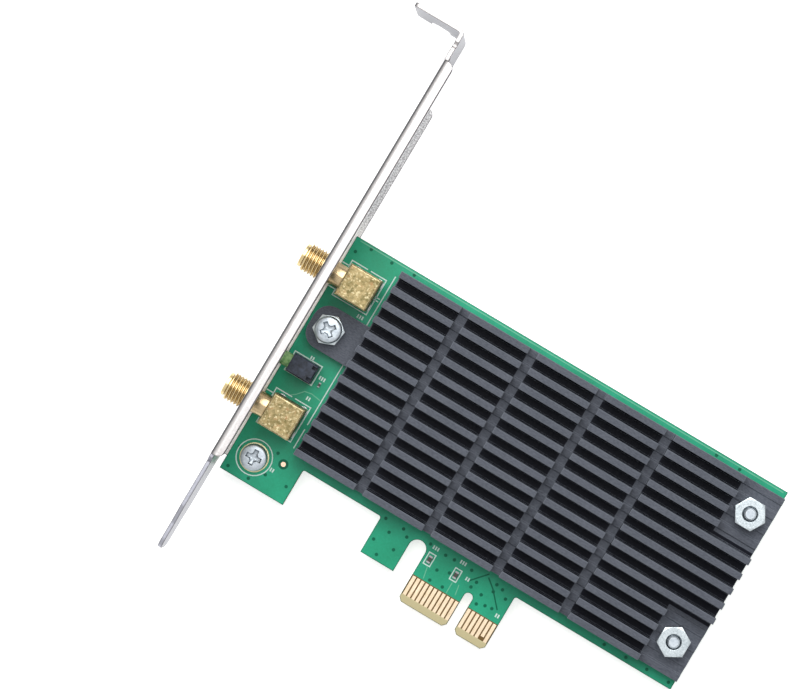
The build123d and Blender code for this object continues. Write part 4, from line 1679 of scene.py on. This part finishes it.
@dataclass
class Studio:
    """Plain pale floor, soft light and the camera that looks down on the card."""

    floor_height: float = -2.42
    floor_half: float = 2500.0
    floor_lift: float = 0.68
    camera_place: Point = (-11.215, 55.74, 631.774)
    camera_turn: Point = (0.4113, 1.8527, 30.798)
    lens: float = 141.47
    sensor: float = 36.0
    shift: Place = (-0.06, 0.0)
    sight: Place = (10.0, 20000.0)
    sky_on_surfaces: float = 0.26
    lamp_direction: Point = (-0.32, 0.55, 1.0)
    lamp_distance: float = 800.0
    lamp_side: float = 850.0
    lamp_power: float = 7.0

    def build(self) -> None:
        """Set the view, the world, the lamp, the floor and the camera."""
        bpy.context.scene.view_settings.view_transform = "Standard"
        self.build_world()
        self.build_lamp()
        self.build_floor()
        self.build_camera()

    def hang(self, name: str, data: bpy.types.ID) -> bpy.types.Object:
        """Put an object of the studio in the scene.

        Args:
            name: The object's name.
            data: Its mesh, light or camera.

        Returns:
            The object.
        """
        thing = bpy.data.objects.new(name, data)
        bpy.context.scene.collection.objects.link(thing)
        return thing

    def build_world(self) -> None:
        """Make a white world that lights surfaces at a plain level."""
        world = bpy.data.worlds.new("studio_white")
        bpy.context.scene.world = world
        canvas = Canvas(world)
        levels = {"To Min": self.sky_on_surfaces, "To Max": 1.0}
        strength = canvas.add("MapRange", {"Value": canvas.seen_directly(), **levels})
        white = canvas.add("Background", {"Color": "#ffffff", "Strength": strength})
        canvas.add("OutputWorld", {0: white})

    def build_lamp(self) -> None:
        """Hang one soft box over the card's upper side."""
        data = bpy.data.lights.new("soft_box", "AREA")
        data.shape = "SQUARE"
        data.size = self.lamp_side * MM
        data.energy = self.lamp_power
        lamp = self.hang("soft_box", data)
        direction = Vector(self.lamp_direction).normalized()
        low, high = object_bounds()
        lamp.location = (low + high) / 2 + direction * self.lamp_distance * MM
        lamp.rotation_euler = direction.to_track_quat("Z", "Y").to_euler()

    def build_floor(self) -> None:
        """Lay a white floor that keeps the card's shadow."""
        half, height = self.floor_half * MM, self.floor_height * MM
        mesh = bpy.data.meshes.new("studio_floor")
        corners = [(-half, -half), (half, -half), (half, half), (-half, half)]
        mesh.from_pydata([(x, y, height) for x, y in corners], [], [(0, 1, 2, 3)])
        floor = self.hang("studio_floor", mesh)
        # Seamless white paper: matt, with a little glow so that it stays white in the picture.
        material = bpy.data.materials.new("studio_paper")
        canvas = Canvas(material)
        lift = canvas.add("MapRange", {"Value": canvas.seen_directly(), "To Max": self.floor_lift})
        glow = canvas.add("Emission", {"Strength": lift})
        paper = canvas.add("BsdfDiffuse", {"Color": "#f4f4f4"})
        canvas.add("OutputMaterial", {0: canvas.add("AddShader", {0: paper, 1: glow})})
        mesh.materials.append(material)
        floor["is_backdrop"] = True

    def build_camera(self) -> None:
        """Hang the camera where the photograph was taken from."""
        data = bpy.data.cameras.new("photo_camera")
        data.lens = self.lens
        data.sensor_width = self.sensor
        data.shift_x, data.shift_y = self.shift
        data.clip_start, data.clip_end = [c * MM for c in self.sight]
        camera = self.hang("photo_camera", data)
        camera.location = [c * MM for c in self.camera_place]
        camera.rotation_euler = [math.radians(turn) for turn in self.camera_turn]
        bpy.context.scene.camera = camera


def main() -> None:
    """Dress the card part by part, then set the studio round it."""
    logging.basicConfig(level=logging.INFO, format="%(name)s: %(message)s")
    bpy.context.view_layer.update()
    CircuitBoard().build()
    ShieldedChips().build()
    Heatsink().build()
    RearBracket().build()
    for side in JackSide:
        AntennaJack(side).build()
    BracketScrews().build()
    IndicatorLight().build()
    Studio().build()


if __name__ == "__main__":
    main()
